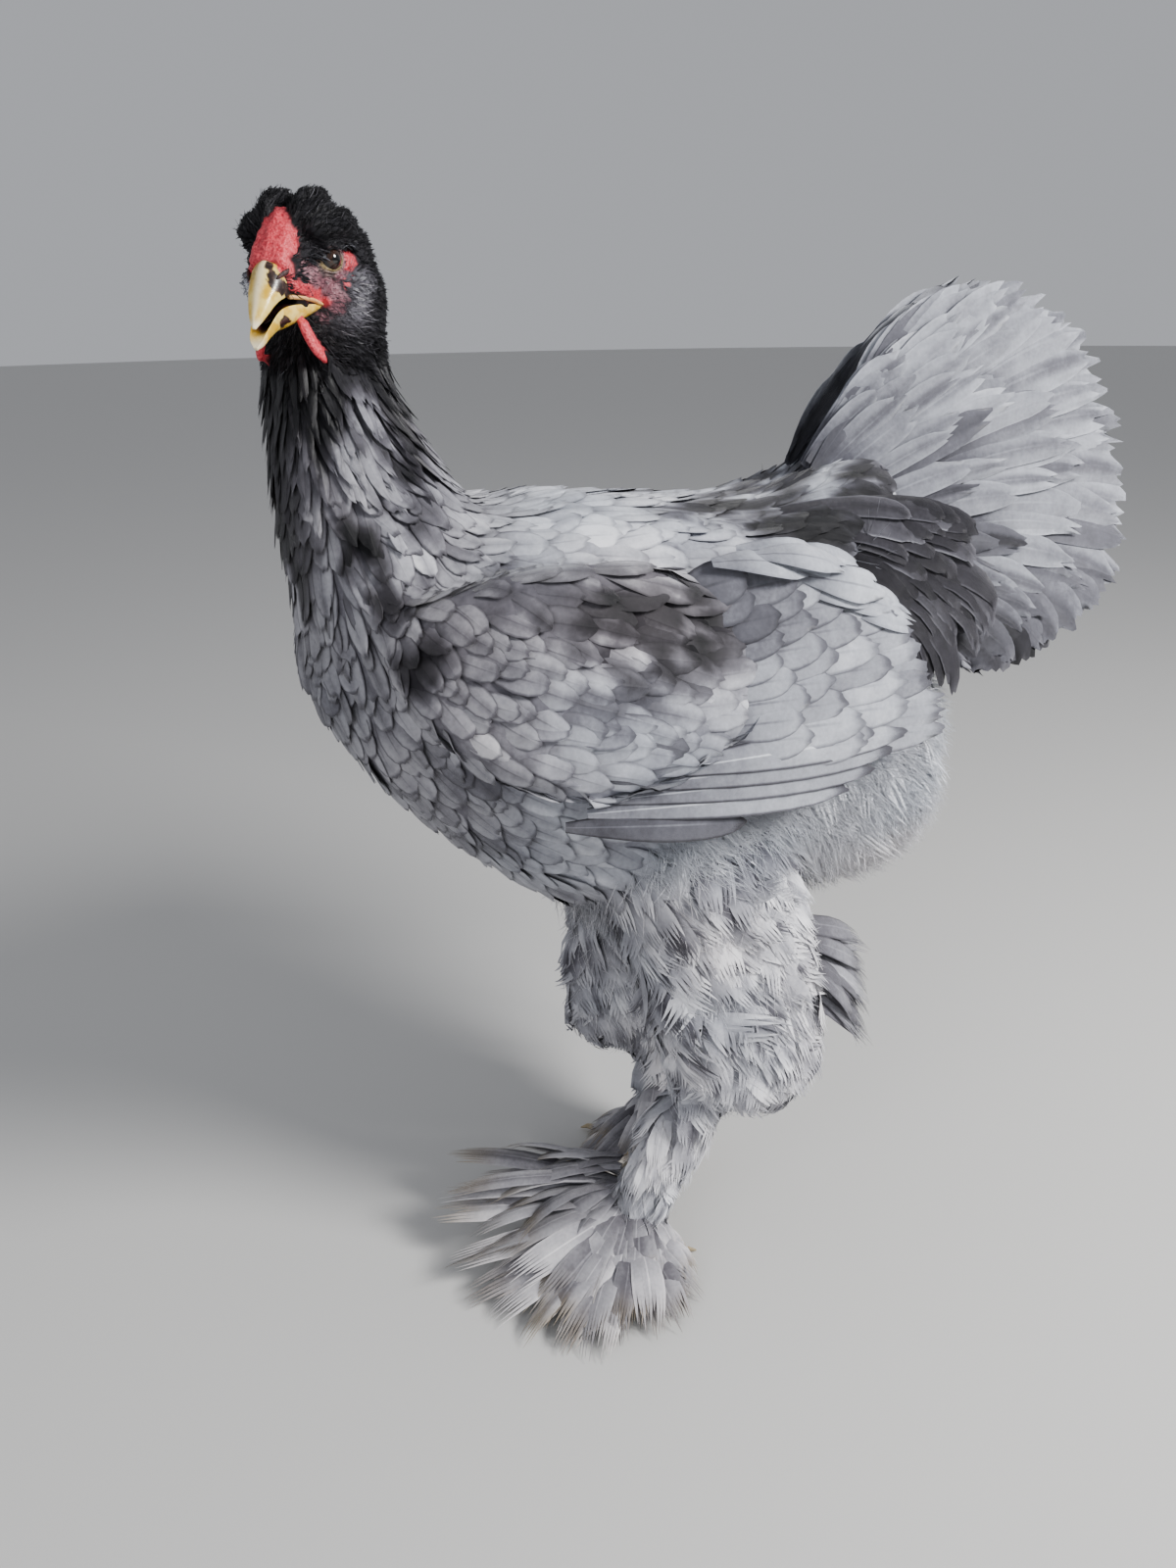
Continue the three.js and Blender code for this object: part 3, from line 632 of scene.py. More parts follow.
# %% Folds
FOLD = 0.36
FOLD_GAP = 1.7
RIM = 0.35
SWELLINGS = (
    # centre and radii in the head's frame, and height: over the gape, behind the eye and at the comb's foot
    ((17, -16, -6), (5, 9, 4), 0.9), ((24, 6, 0), (4, 5, 7), 0.7), ((10, -30, 5), (5, 4, 5), 1.2),
)


def folds(plan, label):
    """How far each point of the skin is pushed out, in millimetres."""
    place = in_head(plan)
    distance, angle, up, back = round_eye(place)
    gap = (angle - lid_edge(up, back)) * distance
    at_eye = fade(-distance, -13.5, -10.5) * fade(angle, 0.2, 0.5)
    below = 0.25 + 0.75 * fade(-up, -0.4, 0.4)
    rings = -np.cos(FULL_TURN * gap / FOLD_GAP) * fade(gap, 1.0, 2.2) * fade(-gap, -8.5, -5.0) * below
    rim = np.exp(-(((gap - 0.7) / 0.8) ** 2))
    push = at_eye * (FOLD * rings + RIM * rim)
    for centre, radii, height in SWELLINGS:
        push += height * blob(place, centre, radii)
    comb = label == FLESH.index("comb")
    push += comb * (0.30 * ripple(plan, 1.3, 61) + 0.25 * ripple(plan, 3.0, 62))
    push += 0.10 * fade(-distance, -22, -14) * ripple(plan, 1.1, 63, stretch=(1, 2, 1))
    return push


skin_points = read(skin_mesh.vertices, "co")
pushed = folds(to_plan(skin_points), skin_label) * MM
skin_points += read(skin_mesh.vertex_normals, "vector") * pushed[:, None]
skin_mesh.vertices.foreach_set("co", skin_points.ravel())
skin_mesh.update()
print("folds from", round(pushed.min() / MM, 2), "to", round(pushed.max() / MM, 2), "mm")

# %% [markdown]
# Everything that lies on the skin asks it three things: where the nearest point is, which way the surface
# faces there, and which part of the bird it belongs to. A tree of its triangles answers quickly.

# %% Asking the skin
class Ground:
    def __init__(self, mesh, label):
        mesh.calc_loop_triangles()
        self.triangles = read(mesh.loop_triangles, "vertices", 3, int)
        self.points = read(mesh.vertices, "co")
        self.label = label[self.triangles[:, 0]]
        corners = self.points[self.triangles]
        spans = np.cross(corners[:, 1] - corners[:, 0], corners[:, 2] - corners[:, 0])
        self.area = np.linalg.norm(spans, axis=1) / 2
        self.middle = corners.mean(axis=1)
        self.facing = unit(read(mesh.vertex_normals, "vector")[self.triangles].mean(axis=1))
        self.tree = BVHTree.FromPolygons(self.points.tolist(), self.triangles.tolist())

    def nearest(self, points):
        """The nearest points of the skin, and which way it faces there."""
        found = [self.tree.find_nearest(Vector(p)) for p in points]
        places = np.array([hit[0] for hit in found])
        return places, self.facing[[hit[2] for hit in found]]


ground = Ground(skin_mesh, skin_label)


def of_parts(*names):
    """Which of the skin's triangles belong to the named parts."""
    return labelled(ground.label, *names)


print("skin area", round(ground.area.sum(), 3), "m2")

# %% [markdown]
# The lie of the coat. Each entry is a place on the bird's left side and the way its feathers point there.
# Between the entries the lie is their blend, weighted by nearness, and the right side mirrors the left.

# %% Lie of the coat
LIE = np.array([
    # place on the neck, then the way the feathers point
    (0, -175, 600, 0, 0.1, -1), (40, -136, 600, 0.05, 0.25, -1), (0, -100, 610, 0, 0.3, -1),
    (0, -70, 560, 0, 0.7, -0.7), (60, -110, 520, 0.15, 0.45, -0.88), (0, -180, 520, 0, 0.12, -1),
    # breast and belly
    (40, -165, 460, 0.1, 0.35, -0.93), (0, -165, 430, 0, 0.4, -0.92), (40, -125, 370, 0, 0.65, -0.75),
    (80, -100, 430, 0.05, 0.75, -0.65), (0, -70, 310, 0, 0.9, -0.45), (60, -40, 300, 0, 0.9, -0.4),
    (0, 0, 270, 0, 1, -0.15), (100, -20, 370, 0, 0.95, -0.3), (0, 120, 250, 0, 1, -0.1),
    # back and saddle
    (0, -20, 550, 0, 1, -0.05), (60, 0, 530, 0.1, 0.98, -0.15), (0, 100, 530, 0, 1, 0),
    (60, 100, 510, 0.2, 0.95, -0.25), (0, 170, 560, 0, 0.85, 0.5), (50, 180, 520, 0.15, 0.9, 0.0),
    (75, 150, 480, 0.1, 0.9, -0.4),
    # wing
    (137, -80, 470, 0.05, 0.9, -0.42), (135, -20, 430, 0, 0.97, -0.2), (120, -110, 480, 0.2, 0.75, -0.6),
    (125, 60, 470, -0.1, 0.98, -0.1), (115, -20, 520, 0.1, 0.95, -0.3), (130, -60, 400, 0, 0.97, -0.25),
    # stern
    (0, 270, 380, 0, 0.25, -0.95), (60, 230, 350, 0.2, 0.55, -0.8), (0, 220, 280, 0, 0.8, -0.6),
    (70, 150, 300, 0.1, 0.7, -0.7), (50, 240, 430, 0.2, 0.9, -0.3), (90, 130, 350, 0.1, 0.75, -0.65),
    # thigh
    (112, 60, 300, 0.1, 0.6, -0.8), (120, 90, 220, 0.05, 0.45, -0.88), (75, 5, 260, 0.25, 0.35, -0.9),
    (78, 160, 230, 0.05, 0.6, -0.8), (78, 95, 125, 0.05, 0.25, -0.97), (30, 70, 250, -0.1, 0.4, -0.9),
    (110, 20, 200, 0.1, 0.4, -0.9),
    # shank
    (70, 20, 90, 0.1, -0.15, -1), (66, 10, 40, 0.3, -0.4, -0.85),
], float)
LIE_SHARPNESS = 4
LIE_BLEND = 8.0


def lie_at(plan):
    near = plan.copy()
    side = np.where(near[:, 0] < 0, -1.0, 1.0)
    near[:, 0] *= side
    gaps = np.linalg.norm(near[:, None, :] - LIE[None, :, :3], axis=2)
    weights = 1 / (gaps + LIE_BLEND) ** LIE_SHARPNESS
    lie = (weights[:, :, None] * LIE[None, :, 3:]).sum(axis=1)
    lie[:, 0] *= side
    return unit(lie)


def face_lie_at(plan):
    """The lie on the head: back from the bill, over the crown and down the cheeks and throat."""
    place = in_head(plan)
    away = place - np.array((0, -34, -6))
    away[:, 1] = np.abs(away[:, 1]) + 14
    away[:, 2] -= 12
    return unit(away @ HEAD.T)


# %% [markdown]
# Roots. Many random points are thrown on the chosen part of the skin, and each one that is kept clears
# its own ring of skin, so feathers stand evenly but never in rows.

# %% Roots
CROWD = 9


def scatter(chosen, spacing, seed):
    """Roots on the chosen triangles, about `spacing(plan)` millimetres apart, in metres."""
    draw = np.random.default_rng(seed)
    triangles = np.flatnonzero(chosen)
    gap = spacing(to_plan(ground.middle[triangles])) * MM
    share = ground.area[triangles] / gap**2
    count = int(CROWD * share.sum())
    picked = triangles[draw.choice(len(triangles), count, p=share / share.sum())]
    a, b = draw.random((2, count, 1))
    flip = (a + b) > 1
    a, b = np.where(flip, 1 - a, a), np.where(flip, 1 - b, b)
    corners = ground.points[ground.triangles[picked]]
    points = corners[:, 0] + a * (corners[:, 1] - corners[:, 0]) + b * (corners[:, 2] - corners[:, 0])
    radius = spacing(to_plan(points)) * MM
    tree = KDTree(count)
    for number, point in enumerate(points):
        tree.insert(point, number)
    tree.balance()
    free = np.ones(count, bool)
    kept = []
    for number in range(count):
        if free[number]:
            kept.append(number)
            for _, other, _ in tree.find_range(points[number], radius[number]):
                free[other] = False
    return points[kept]


# %% [markdown]
# A feather is a thin closed vane. Its pattern is a small grid made by bmesh, one sheet for the top and a
# turned copy for the underside, in numbers from root to tip and from edge to edge. A plume is the same,
# but its columns are loose strips, which taper and part towards the tip as soft barbs do. A hair system
# would be quicker to set up, but it gives no solid mesh. So `lay` puts a pattern along thousands of
# centre lines at once and joins them. Feathers that reach the ground rest on it.

# %% Feather pattern
TIP_DENSITY = 1.5


class Pattern:
    """A grid of `rows` by `columns` cells.

    `along` runs from 0 at the root to 1 at the tip, `across` from -1 to 1 between the edges.
    """

    def __init__(self, rows, columns, loose=False):
        shape = bmesh.new()
        strips = columns if loose else 1
        for number in range(strips):
            strip = bmesh.ops.create_grid(shape, x_segments=columns // strips, y_segments=rows, size=1.0)
            bmesh.ops.scale(shape, verts=strip["verts"], vec=(1 / strips, 1, 1))
            bmesh.ops.translate(shape, verts=strip["verts"], vec=((2 * number + 1) / strips - 1, 0, 0))
        under = bmesh.ops.duplicate(shape, geom=shape.verts[:] + shape.edges[:] + shape.faces[:])["geom"]
        bmesh.ops.reverse_faces(shape, faces=[g for g in under if isinstance(g, bmesh.types.BMFace)])
        lower = {g for g in under if isinstance(g, bmesh.types.BMVert)}
        shape.verts.index_update()
        self.across = np.array([v.co.x for v in shape.verts])
        self.along = 1 - (1 - np.array([(v.co.y + 1) / 2 for v in shape.verts])) ** TIP_DENSITY
        self.lower = np.array([v in lower for v in shape.verts])
        self.faces = np.array([[v.index for v in f.verts] for f in shape.faces])
        self.columns = columns
        self.loose = loose
        self.column = np.rint((self.across + 1) / 2 * columns).astype(int)
        if loose:
            per_strip = 2 * (rows + 1)
            number = np.arange(columns * per_strip) // per_strip
            self.column = np.concatenate([number, number])
            self.core = (2 * self.column + 1) / columns - 1
        shape.free()


def outline(along, blunt, waist):
    """Half the width of a vane: narrow at the root, 1 at `waist`, and as round as `blunt` says at the tip."""
    rise = np.clip(along / waist, 0, 1)
    fall = np.clip((along - waist) / (1 - waist), 0, 1)
    return (0.3 + 0.7 * np.sin(rise * math.pi / 2)) * np.sqrt(1 - (1 - blunt**2) * fall**2.2)


def joined_mesh(name, points, faces, maps, traits):
    """One mesh from arrays, with UV maps and values given for each of its vertices."""
    mesh = bpy.data.meshes.new(name)
    mesh.vertices.add(len(points))
    mesh.vertices.foreach_set("co", np.ascontiguousarray(points, np.float32).ravel())
    mesh.loops.add(faces.size)
    mesh.loops.foreach_set("vertex_index", faces.ravel().astype(np.int32))
    mesh.polygons.add(len(faces))
    mesh.polygons.foreach_set("loop_start", np.arange(0, faces.size, faces.shape[1], dtype=np.int32))
    mesh.update(calc_edges=True)
    mesh.polygons.foreach_set("use_smooth", np.ones(len(faces), bool))
    corner = faces.ravel()
    for key, values in maps.items():
        layer = mesh.uv_layers.new(name=key)
        layer.data.foreach_set("uv", values[corner].astype(np.float32).ravel())
    for key, values in traits.items():
        layer = mesh.attributes.new(key, "FLOAT", "POINT")
        layer.data.foreach_set("value", values.astype(np.float32))
    return mesh


BAKE_PATCH = 0.003
BARB_TAPER = 0.88
TIP_THINNING = 0.75
FLOOR_GAPS = (0.2, 0.5)


def lay(name, pattern, lines, faces_up, half_width, look):
    """Feathers along centre lines: `lines` and `faces_up` are (feathers, stations, 3), in metres.

    `look` holds values for all feathers or for each: tone, warm, lace, and optionally camber, blunt, waist,
    round, notch, thick, sway and free_from for loose strips, and roots on the unwrap. With `marked`, every
    point takes the bird's markings at its own place, and tone, warm and lace are added to them.
    """
    count, stations = lines.shape[:2]
    draw = np.random.default_rng(count + 17)

    def trait(key, usual):
        value = look.get(key, usual)
        return np.broadcast_to(np.asarray(value, float), (count,))[:, None]

    along = pattern.along[None, :]
    across = pattern.across[None, :]
    reach = along * (1 - trait("round", 0.05) * across**2 * along**2)
    notch = draw.random((count, pattern.columns + 1)) ** 2 * trait("notch", 0.08)
    reach = reach * (1 - notch[:, pattern.column] * along**3)
    place = reach * (stations - 1)
    low = np.clip(place.astype(int), 0, stations - 2)
    part = (place - low)[:, :, None]
    who = np.arange(count)[:, None]
    centre = lines[who, low] * (1 - part) + lines[who, low + 1] * part
    up = unit(faces_up[who, low] * (1 - part) + faces_up[who, low + 1] * part)
    heading = unit(lines[who, low + 1] - lines[who, low])
    side = unit(np.cross(heading, up))
    up = np.cross(side, heading)
    shape = outline(np.broadcast_to(along, place.shape), trait("blunt", 0.45), trait("waist", 0.6))
    if pattern.loose:
        free_from = trait("free_from", 0.3)
        free = np.clip((along - free_from) / (1 - free_from), 0, 1)
        core = pattern.core[None, :]
        sway = draw.normal(0, 1, (count, pattern.columns))[:, pattern.column] * trait("sway", 0.25)
        across = core + (across - core) * (1 - BARB_TAPER * free) + (0.25 * core + sway) * free**2
    wide = half_width[:, None] * shape * across
    drop = trait("camber", 0.12) * half_width[:, None] * across**2 * shape
    body = 1 - pattern.across[None, :] ** 2
    thick = trait("thick", 0.2 * MM) * body * (1 - TIP_THINNING * along)
    down = drop + np.where(pattern.lower[None, :], thick, 0.0)
    points = centre + side * wide[:, :, None] - up * down[:, :, None]
    points[:, :, 2] = np.maximum(points[:, :, 2], np.where(pattern.lower, *FLOOR_GAPS)[None, :] * MM)
    size = len(pattern.along)
    faces = pattern.faces[None] + (np.arange(count) * size)[:, None, None]
    vane = np.broadcast_to(np.stack([pattern.along, (pattern.across + 1) / 2], axis=1), (*place.shape, 2))
    roots = look.get("roots")
    if roots is None:
        roots = unwrap(lines[:, 0])
    patch = roots[:, None, :] + (vane - 0.5) * BAKE_PATCH
    traits = {key: np.repeat(np.broadcast_to(look[key], (count,)), size) for key in ("tone", "warm", "lace")}
    if "marked" in look:
        shown = marks(to_plan(points.reshape(-1, 3)))
        traits = {key: value + traits[key] for key, value in zip(("tone", "warm", "lace"), shown)}
    traits["chance"] = np.repeat(draw.random(count), size)
    return joined_mesh(
        name,
        points.reshape(-1, 3),
        faces.reshape(-1, pattern.faces.shape[1]),
        {"vane": vane.reshape(-1, 2), "OFBake": patch.reshape(-1, 2)},
        traits,
    )


def unwrap(points):
    """The skin rolled out flat: round the body's long axis, and along it."""
    plan = to_plan(points)
    turn = np.arctan2(plan[:, 0], plan[:, 2] - 400) / FULL_TURN + 0.5
    length = (plan[:, 1] + 220) / 640
    return np.stack([0.02 + 0.96 * turn, np.clip(length, 0.01, 0.99)], axis=1)


def add_piece(name, mesh, material, slot, *nodes):
    piece = placed(name, mesh)
    mesh.materials.append(material)
    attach(piece, "root")
    if nodes:
        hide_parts(*nodes)
    print(name, sum(len(p.vertices) - 2 for p in mesh.polygons), "triangles")


# %% [markdown]
# Combing: from its root a centre line steps along the lie of the coat, and each step is set down on the
# skin again, a little higher than the last, so every feather follows the body and its tip lies on the
# next ones.

# %% Combing
def combed(roots, length, rise, seed, steps=5, lie=lie_at, stray=7.0, swirl=0.0, sink=1.0):
    """Centre lines and facings for feathers of `length` and tips `rise` above the skin, in millimetres."""
    draw = np.random.default_rng(seed)
    length = length * MM
    rise = rise * MM
    at, facing = ground.nearest(roots)
    yaw = np.radians(draw.normal(0, stray, len(roots)))
    if swirl:
        yaw += np.radians(swirl) * ripple(to_plan(roots), 26, seed + 5)
    lines, ups = [], []
    for step in range(steps + 1):
        u = step / steps
        height = -sink * MM * (1 - u) + rise * u**1.25
        lines.append(at + facing * height[:, None])
        ups.append(facing)
        heading = lie(to_plan(at))
        heading = unit(heading - facing * (heading * facing).sum(axis=1)[:, None])
        sideways = np.cross(facing, heading)
        heading = heading * np.cos(yaw)[:, None] + sideways * np.sin(yaw)[:, None]
        at, facing = ground.nearest(at + heading * (length / steps)[:, None])
    return np.stack(lines, axis=1), np.stack(ups, axis=1)


# %% [markdown]
# Markings. A blue bird's feathers run from soot black on the head, in a stripe down the front of the
# neck, through a mottled neck and a taupe grey breast, to silver on the back, tail and stern, with dark
# clouds on shoulder and saddle. They could be painted. Here one function gives tone, warmth and lacing
# for any place on the bird, and the skin and the feathers both take theirs from it, so they always agree.

# %% Markings
DARK_SPOTS = (
    # centre, radii, strength
    ((62, -146, 524), (13, 18, 15), 0.9),
    ((82, -134, 500), (17, 18, 15), 0.9),
    ((103, -120, 470), (17, 18, 17), 0.85),
    ((44, -104, 575), (20, 22, 24), 1.0),
    ((56, -98, 540), (14, 18, 22), 0.4),
    ((112, -76, 506), (24, 24, 26), 0.25),
    ((120, -40, 500), (30, 34, 34), 0.45),
    ((127, 5, 486), (30, 40, 34), 0.7),
    ((118, 52, 482), (28, 40, 30), 0.65),
    ((126, -22, 450), (24, 50, 24), 0.4),
    ((66, 132, 516), (30, 40, 26), 0.9),
    ((50, 92, 532), (30, 32, 16), 0.6),
    ((56, 172, 532), (24, 26, 24), 0.7),
)
BLACK = 0.03
BASE_TONE = 0.74
SPOT_DEPTH = 0.61
STREAK_DEPTH = 0.57
FACE_SPOTS = (
    # centre and radii in the head's frame, and how much paler the feathers are there
    ((34, 5, -8), (11, 11, 13), 0.72),
    ((27, -4, -21), (10, 14, 9), 0.36),
    ((18, -12, 11), (7, 9, 4), 0.16),
    ((18, 6, -34), (12, 16, 9), 0.10),
)


def marks(plan):
    """Tone from 0, black, to 1, white, warmth from 0 to 1, and lacing from 0 to 1."""
    y, z = plan[:, 1], plan[:, 2]
    cloud = ripple(plan, 34, 11)
    fleck = ripple(plan, 13, 12)
    ragged = ripple(plan, 7, 13, stretch=(1, 3, 1))
    breast = fade(-y, 35, 95) * fade(z, 280, 340)
    back = fade(z, 490, 525) * fade(y, -60, 0)
    low = fade(-z, -330, -290)
    down = fade(y, 0, 60) * low
    tone = BASE_TONE + 0.04 * cloud + 0.03 * fleck
    # The breast is made darker: partly its own taupe grey and partly painted shade for the shadow under the
    # bird's front.
    tone -= breast * (0.09 - 0.03 * cloud)
    tone += back * 0.12 + down * 0.15
    tone -= low * (0.05 - 0.05 * fleck)
    dense = fade(y, 60, 130)
    streak = fade(ripple(plan, 9, 21, stretch=(1, 5, 1)), 0.1 - 0.6 * dense, 0.55 - 0.4 * dense)
    tone -= STREAK_DEPTH * streak * fade(y, 20, 70) * fade(z, 496, 520)
    for centre, radii, strength in DARK_SPOTS:
        spot = blob(plan, centre, radii) * (1 + 0.5 * fleck + 0.3 * cloud + 0.35 * ragged)
        tone -= SPOT_DEPTH * strength * fade(spot, 0.12, 0.9)
    neck = fade(-y, 70, 110) * fade(z, 480, 520)
    tone += neck * (0.07 - 0.22 * fade(fleck + 0.5 * cloud, 0.1, 0.8))
    strands = ripple(plan, 9, 22, stretch=(1, 1, 5))
    stripe = np.exp(-((plan[:, 0] / 36) ** 4)) * fade(z + 16 * strands, 478, 512) * fade(-y, 115, 145)
    hood = fade(z + 8 * cloud + 18 * strands, 562, 592)
    black = np.maximum(hood, stripe * (0.94 + 0.06 * cloud))
    tone = tone * (1 - black) + BLACK * black
    for centre, radii, paler in FACE_SPOTS:
        tone += paler * blob(in_head(plan), centre, radii) * (1 + 0.4 * fleck)
    smudge = blob(plan, (122, 5, 490), (40, 90, 34))
    warm = 0.15 + 0.35 * breast + 0.25 * low + 0.7 * smudge + 0.12 * cloud
    lace = 0.55 + 0.4 * breast - 0.3 * low
    return np.clip(tone, 0.02, 0.97), np.clip(warm, 0, 1), np.clip(lace, 0, 1)


# %% [markdown]
# The plumage material. A vane's own map tells where a point lies on its feather, so the shader can draw
# what every feather has: a shaft, fine barbs slanting to the edge and a lace along the rim. Its base is
# painted darker, partly for the grey of the downy base and partly as painted shade where the feather
# before lies over it. The colour itself comes from one ramp from soot to silver, read with the tone that
# the feather carries.

# %% Plumage
SOOT = (0.005, 0.005, 0.008)
SLATE = (0.042, 0.041, 0.052)
BLUE_GREY = (0.145, 0.148, 0.178)
SILVER = (0.41, 0.43, 0.485)
PALE = (0.78, 0.81, 0.87)
EARTH = (0.34, 0.27, 0.17)
TAUPE_TINT = (1.10, 0.98, 0.90)


def tone_ramp(tone):
    return tone.ramp((0.0, SOOT), (0.25, SLATE), (0.5, BLUE_GREY), (0.75, SILVER), (1.0, PALE))


def warmed(tree, colour, warm):
    return tree.mix(warm, colour, tree.mix(1.0, colour, TAUPE_TINT, "MULTIPLY"))


def plumage(name, barbs=46.0, rim=0.22, shaft=0.10, fluff=0.0, streak=0.0, dirt=0.0, painted_base_shade=0.26,
            roughness=0.62, sheen=0.2):
    tree = Tree(name)
    along, across = tree.uv("vane")
    tone, warm = tree.attribute("tone"), tree.attribute("warm")
    lace, chance = tree.attribute("lace"), tree.attribute("chance")
    off = (across - 0.5).math("ABSOLUTE") * 2
    grain = tree.noise(420.0, 3.0)
    cloth = tree.noise(90.0, 2.0)
    line = ((along * barbs + off * (barbs * 0.45) + grain * 1.6) * 6.283).math("SINE")
    border = off.step(0.78, 0.99).math("MAXIMUM", along.step(0.9, 0.995))
    quill = 1 - off.step(0.03, 0.09)
    shade = tone + (chance - 0.5) * 0.06 + (grain - 0.5) * 0.14 + (cloth - 0.5) * 0.18
    shade = shade - border * lace * rim * tone + quill * (1 - along.step(0.55, 0.95)) * shaft * tone
    # The vane's base is painted darker: partly the downy base's own grey, partly painted shade under the
    # feather before.
    shade = shade + line * 0.012 - (1 - along.step(0.15, 0.65)) * painted_base_shade * tone
    shade = shade + along.step(0.6, 1.0) * fluff
    shade = shade - (1 - off.step(0.1, 0.6)) * chance * along.step(0.2, 0.8) * streak
    colour = warmed(tree, tone_ramp(shade), warm)
    if dirt:
        colour = tree.mix(along.step(0.6, 1.0) * chance * dirt, colour, EARTH)
    tree.bump(line * 0.5 + quill * 1.2 + grain * 0.6, 0.00025, 0.5)
    return tree.finish(Base_Color=colour, Roughness=roughness, Sheen_Weight=sheen, Sheen_Roughness=0.45)


CONTOUR_PAINT = plumage("contour_feather", rim=0.36, shaft=-0.12, streak=0.10)
NECK_PAINT = plumage("neck_feather", barbs=30, rim=0.12, shaft=-0.05, roughness=0.40, sheen=0.05)
FACE_PAINT = plumage("face_feather", barbs=60, rim=0.05, shaft=0.0, roughness=0.5, sheen=0.05)
FLUFF_PAINT = plumage("fluff", barbs=22, rim=-0.04, shaft=0.03, fluff=0.10, painted_base_shade=0.04, roughness=0.85,
                      sheen=0.6)
THIGH_PAINT = plumage("thigh_feather", barbs=40, rim=-0.24, shaft=0.08, fluff=0.06, streak=0.40,
                      painted_base_shade=0.22, roughness=0.8)
QUILL_PAINT = plumage("flight_feather", barbs=120, rim=0.34, shaft=-0.16, roughness=0.55)
# The primaries' strong dark rim is partly lacing and partly painted shade: the dark gaps between the blades.
PRIMARY_PAINT = plumage("primary_feather", barbs=150, rim=0.55, shaft=0.30, roughness=0.5)
TAIL_PAINT = plumage("tail_feather", barbs=80, rim=-0.08, shaft=0.10, streak=0.22, painted_base_shade=0.34,
                     roughness=0.55)
COVERT_PAINT = plumage("tail_covert", barbs=80, rim=-0.55, shaft=-0.08, streak=0.1, roughness=0.42,
                       sheen=0.1)
HOCK_PAINT = plumage("hock_feather", rim=0.3, shaft=0.12)
FOOT_PAINT = plumage("foot_feather", barbs=60, rim=-0.08, shaft=0.16, streak=0.25, dirt=0.8, roughness=0.75)

# %% [markdown]
# Flesh and horn. Red skin is mottled with pale pebbles and a few black specks, the lids are a brown grey
# with a golden rim, and the toes are yellow. Each of these shows where a value stored on the skin's
# points calls for it.

# %% Flesh and horn
def flesh_colour(tree, pebbles):
    colour = tree.mix(pebbles.step(0.2, 0.75), (0.44, 0.030, 0.045), (0.72, 0.125, 0.14))
    return tree.mix(tree.noise(1300.0, 1.0).step(0.70, 0.76) * 0.6, colour, (0.10, 0.01, 0.015))


def skin_paint():
    """Under the coat the skin has the coat's own colours, and where it is bare, those of flesh."""
    tree = Tree("skin")
    tone, warm = tree.attribute("tone"), tree.attribute("warm")
    red, pink, dark = tree.attribute("red"), tree.attribute("pink"), tree.attribute("dark")
    grain = tree.noise(260.0, 3.0)
    pebbles = tree.noise(750.0, 2.0)
    colour = warmed(tree, tone_ramp(tone * 0.85 + (grain - 0.5) * 0.2 - 0.05), warm)
    colour = tree.mix(pink, colour, tree.mix(grain.step(0.3, 0.7), (0.13, 0.055, 0.07), (0.32, 0.15, 0.175)))
    colour = tree.mix(red, colour, flesh_colour(tree, pebbles))
    lids = tree.mix(grain.step(0.35, 0.65), (0.07, 0.045, 0.048), (0.17, 0.115, 0.11))
    colour = tree.mix(tree.attribute("lid"), colour, lids)
    colour = tree.mix(tree.attribute("gold"), colour, (0.26, 0.20, 0.085))
    toes = tree.mix(grain.step(0.35, 0.65), (0.50, 0.35, 0.10), (0.62, 0.50, 0.22))
    colour = tree.mix(tree.attribute("toe"), colour, toes)
    # Along the mouth line the skin is painted near black: painted shade in the slit between the bills.
    colour = tree.mix(dark, colour, (0.008, 0.004, 0.004))
    bare = red.math("MAXIMUM", pink)
    tree.bump(grain + pebbles * bare * 2.0, 0.0006, 0.7)
    return tree.finish(Base_Color=colour, Roughness=0.85 - bare * 0.38)


def flat_paint(name, dark, light, scale, roughness, depth, coat=0.0):
    tree = Tree(name)
    grain = tree.noise(scale, 4.0, roughness=0.6)
    fine = tree.noise(scale * 4, 2.0)
    colour = tree.mix(grain.step(0.35, 0.65), dark, light)
    tree.bump(grain + fine * 0.5, depth)
    return tree.finish(Base_Color=colour, Roughness=roughness, Coat_Weight=coat)


# %% [markdown]
# The skin becomes a piece, with the markings stored on its points, and stands for every node of flesh.

# %% Skin piece
def store(mesh, name, values):
    layer = mesh.attributes.new(name, "FLOAT", "POINT")
    layer.data.foreach_set("value", np.asarray(values, np.float32))


MOUTH_LINE = ((-42, -12.5), (-36, -11), (-24, -12), (-14, -15), (-9, -16.5))
RED_SPOTS = (
    # centre and radii of the red skin: behind and below the eye, over the gape, cere and wattle's root
    ((24, 9, 2), (6, 5, 7)), ((23.5, 6, -3.5), (6, 6, 5.5)), ((25, 6, -6), (7, 6, 5)),
    ((22.5, -1, -8), (6, 5, 4)), ((14, -25, -5.5), (5, 7, 3.6)), ((16, -18, -10), (5, 6, 4)),
    ((18, -13, -14), (4, 4, 3)), ((8, -31, 6), (6, 5, 6)), ((0, -30, 12), (9, 7, 6)),
    ((12, -28, -19), (5, 5, 5)), ((13, -26, -25), (5, 5, 6)), ((9, -22, 14), (4, 8, 7)),
    ((12, -30, -3), (4, 5, 4)),
)
PINK_SPOTS = (
    # centre and radii of the purplish skin: lore, cheek, jaw and round the eye
    ((18, -16, -2), (6, 8, 9)), ((21, -10, -8), (6, 8, 8)), ((22, -6, -15), (7, 9, 7)),
    ((18, -18, -20), (7, 8, 6)), ((23, -2, 2), (7, 11, 8)), ((17, -21, 3), (5, 6, 5)),
)


def spotted(place, spots, seed):
    """1 in any of the spots, with a ragged edge."""
    near = np.max([blob(place, centre, radii) for centre, radii in spots], axis=0)
    return fade(near + 0.10 * ripple(place, 2.2, seed), 0.34, 0.52)


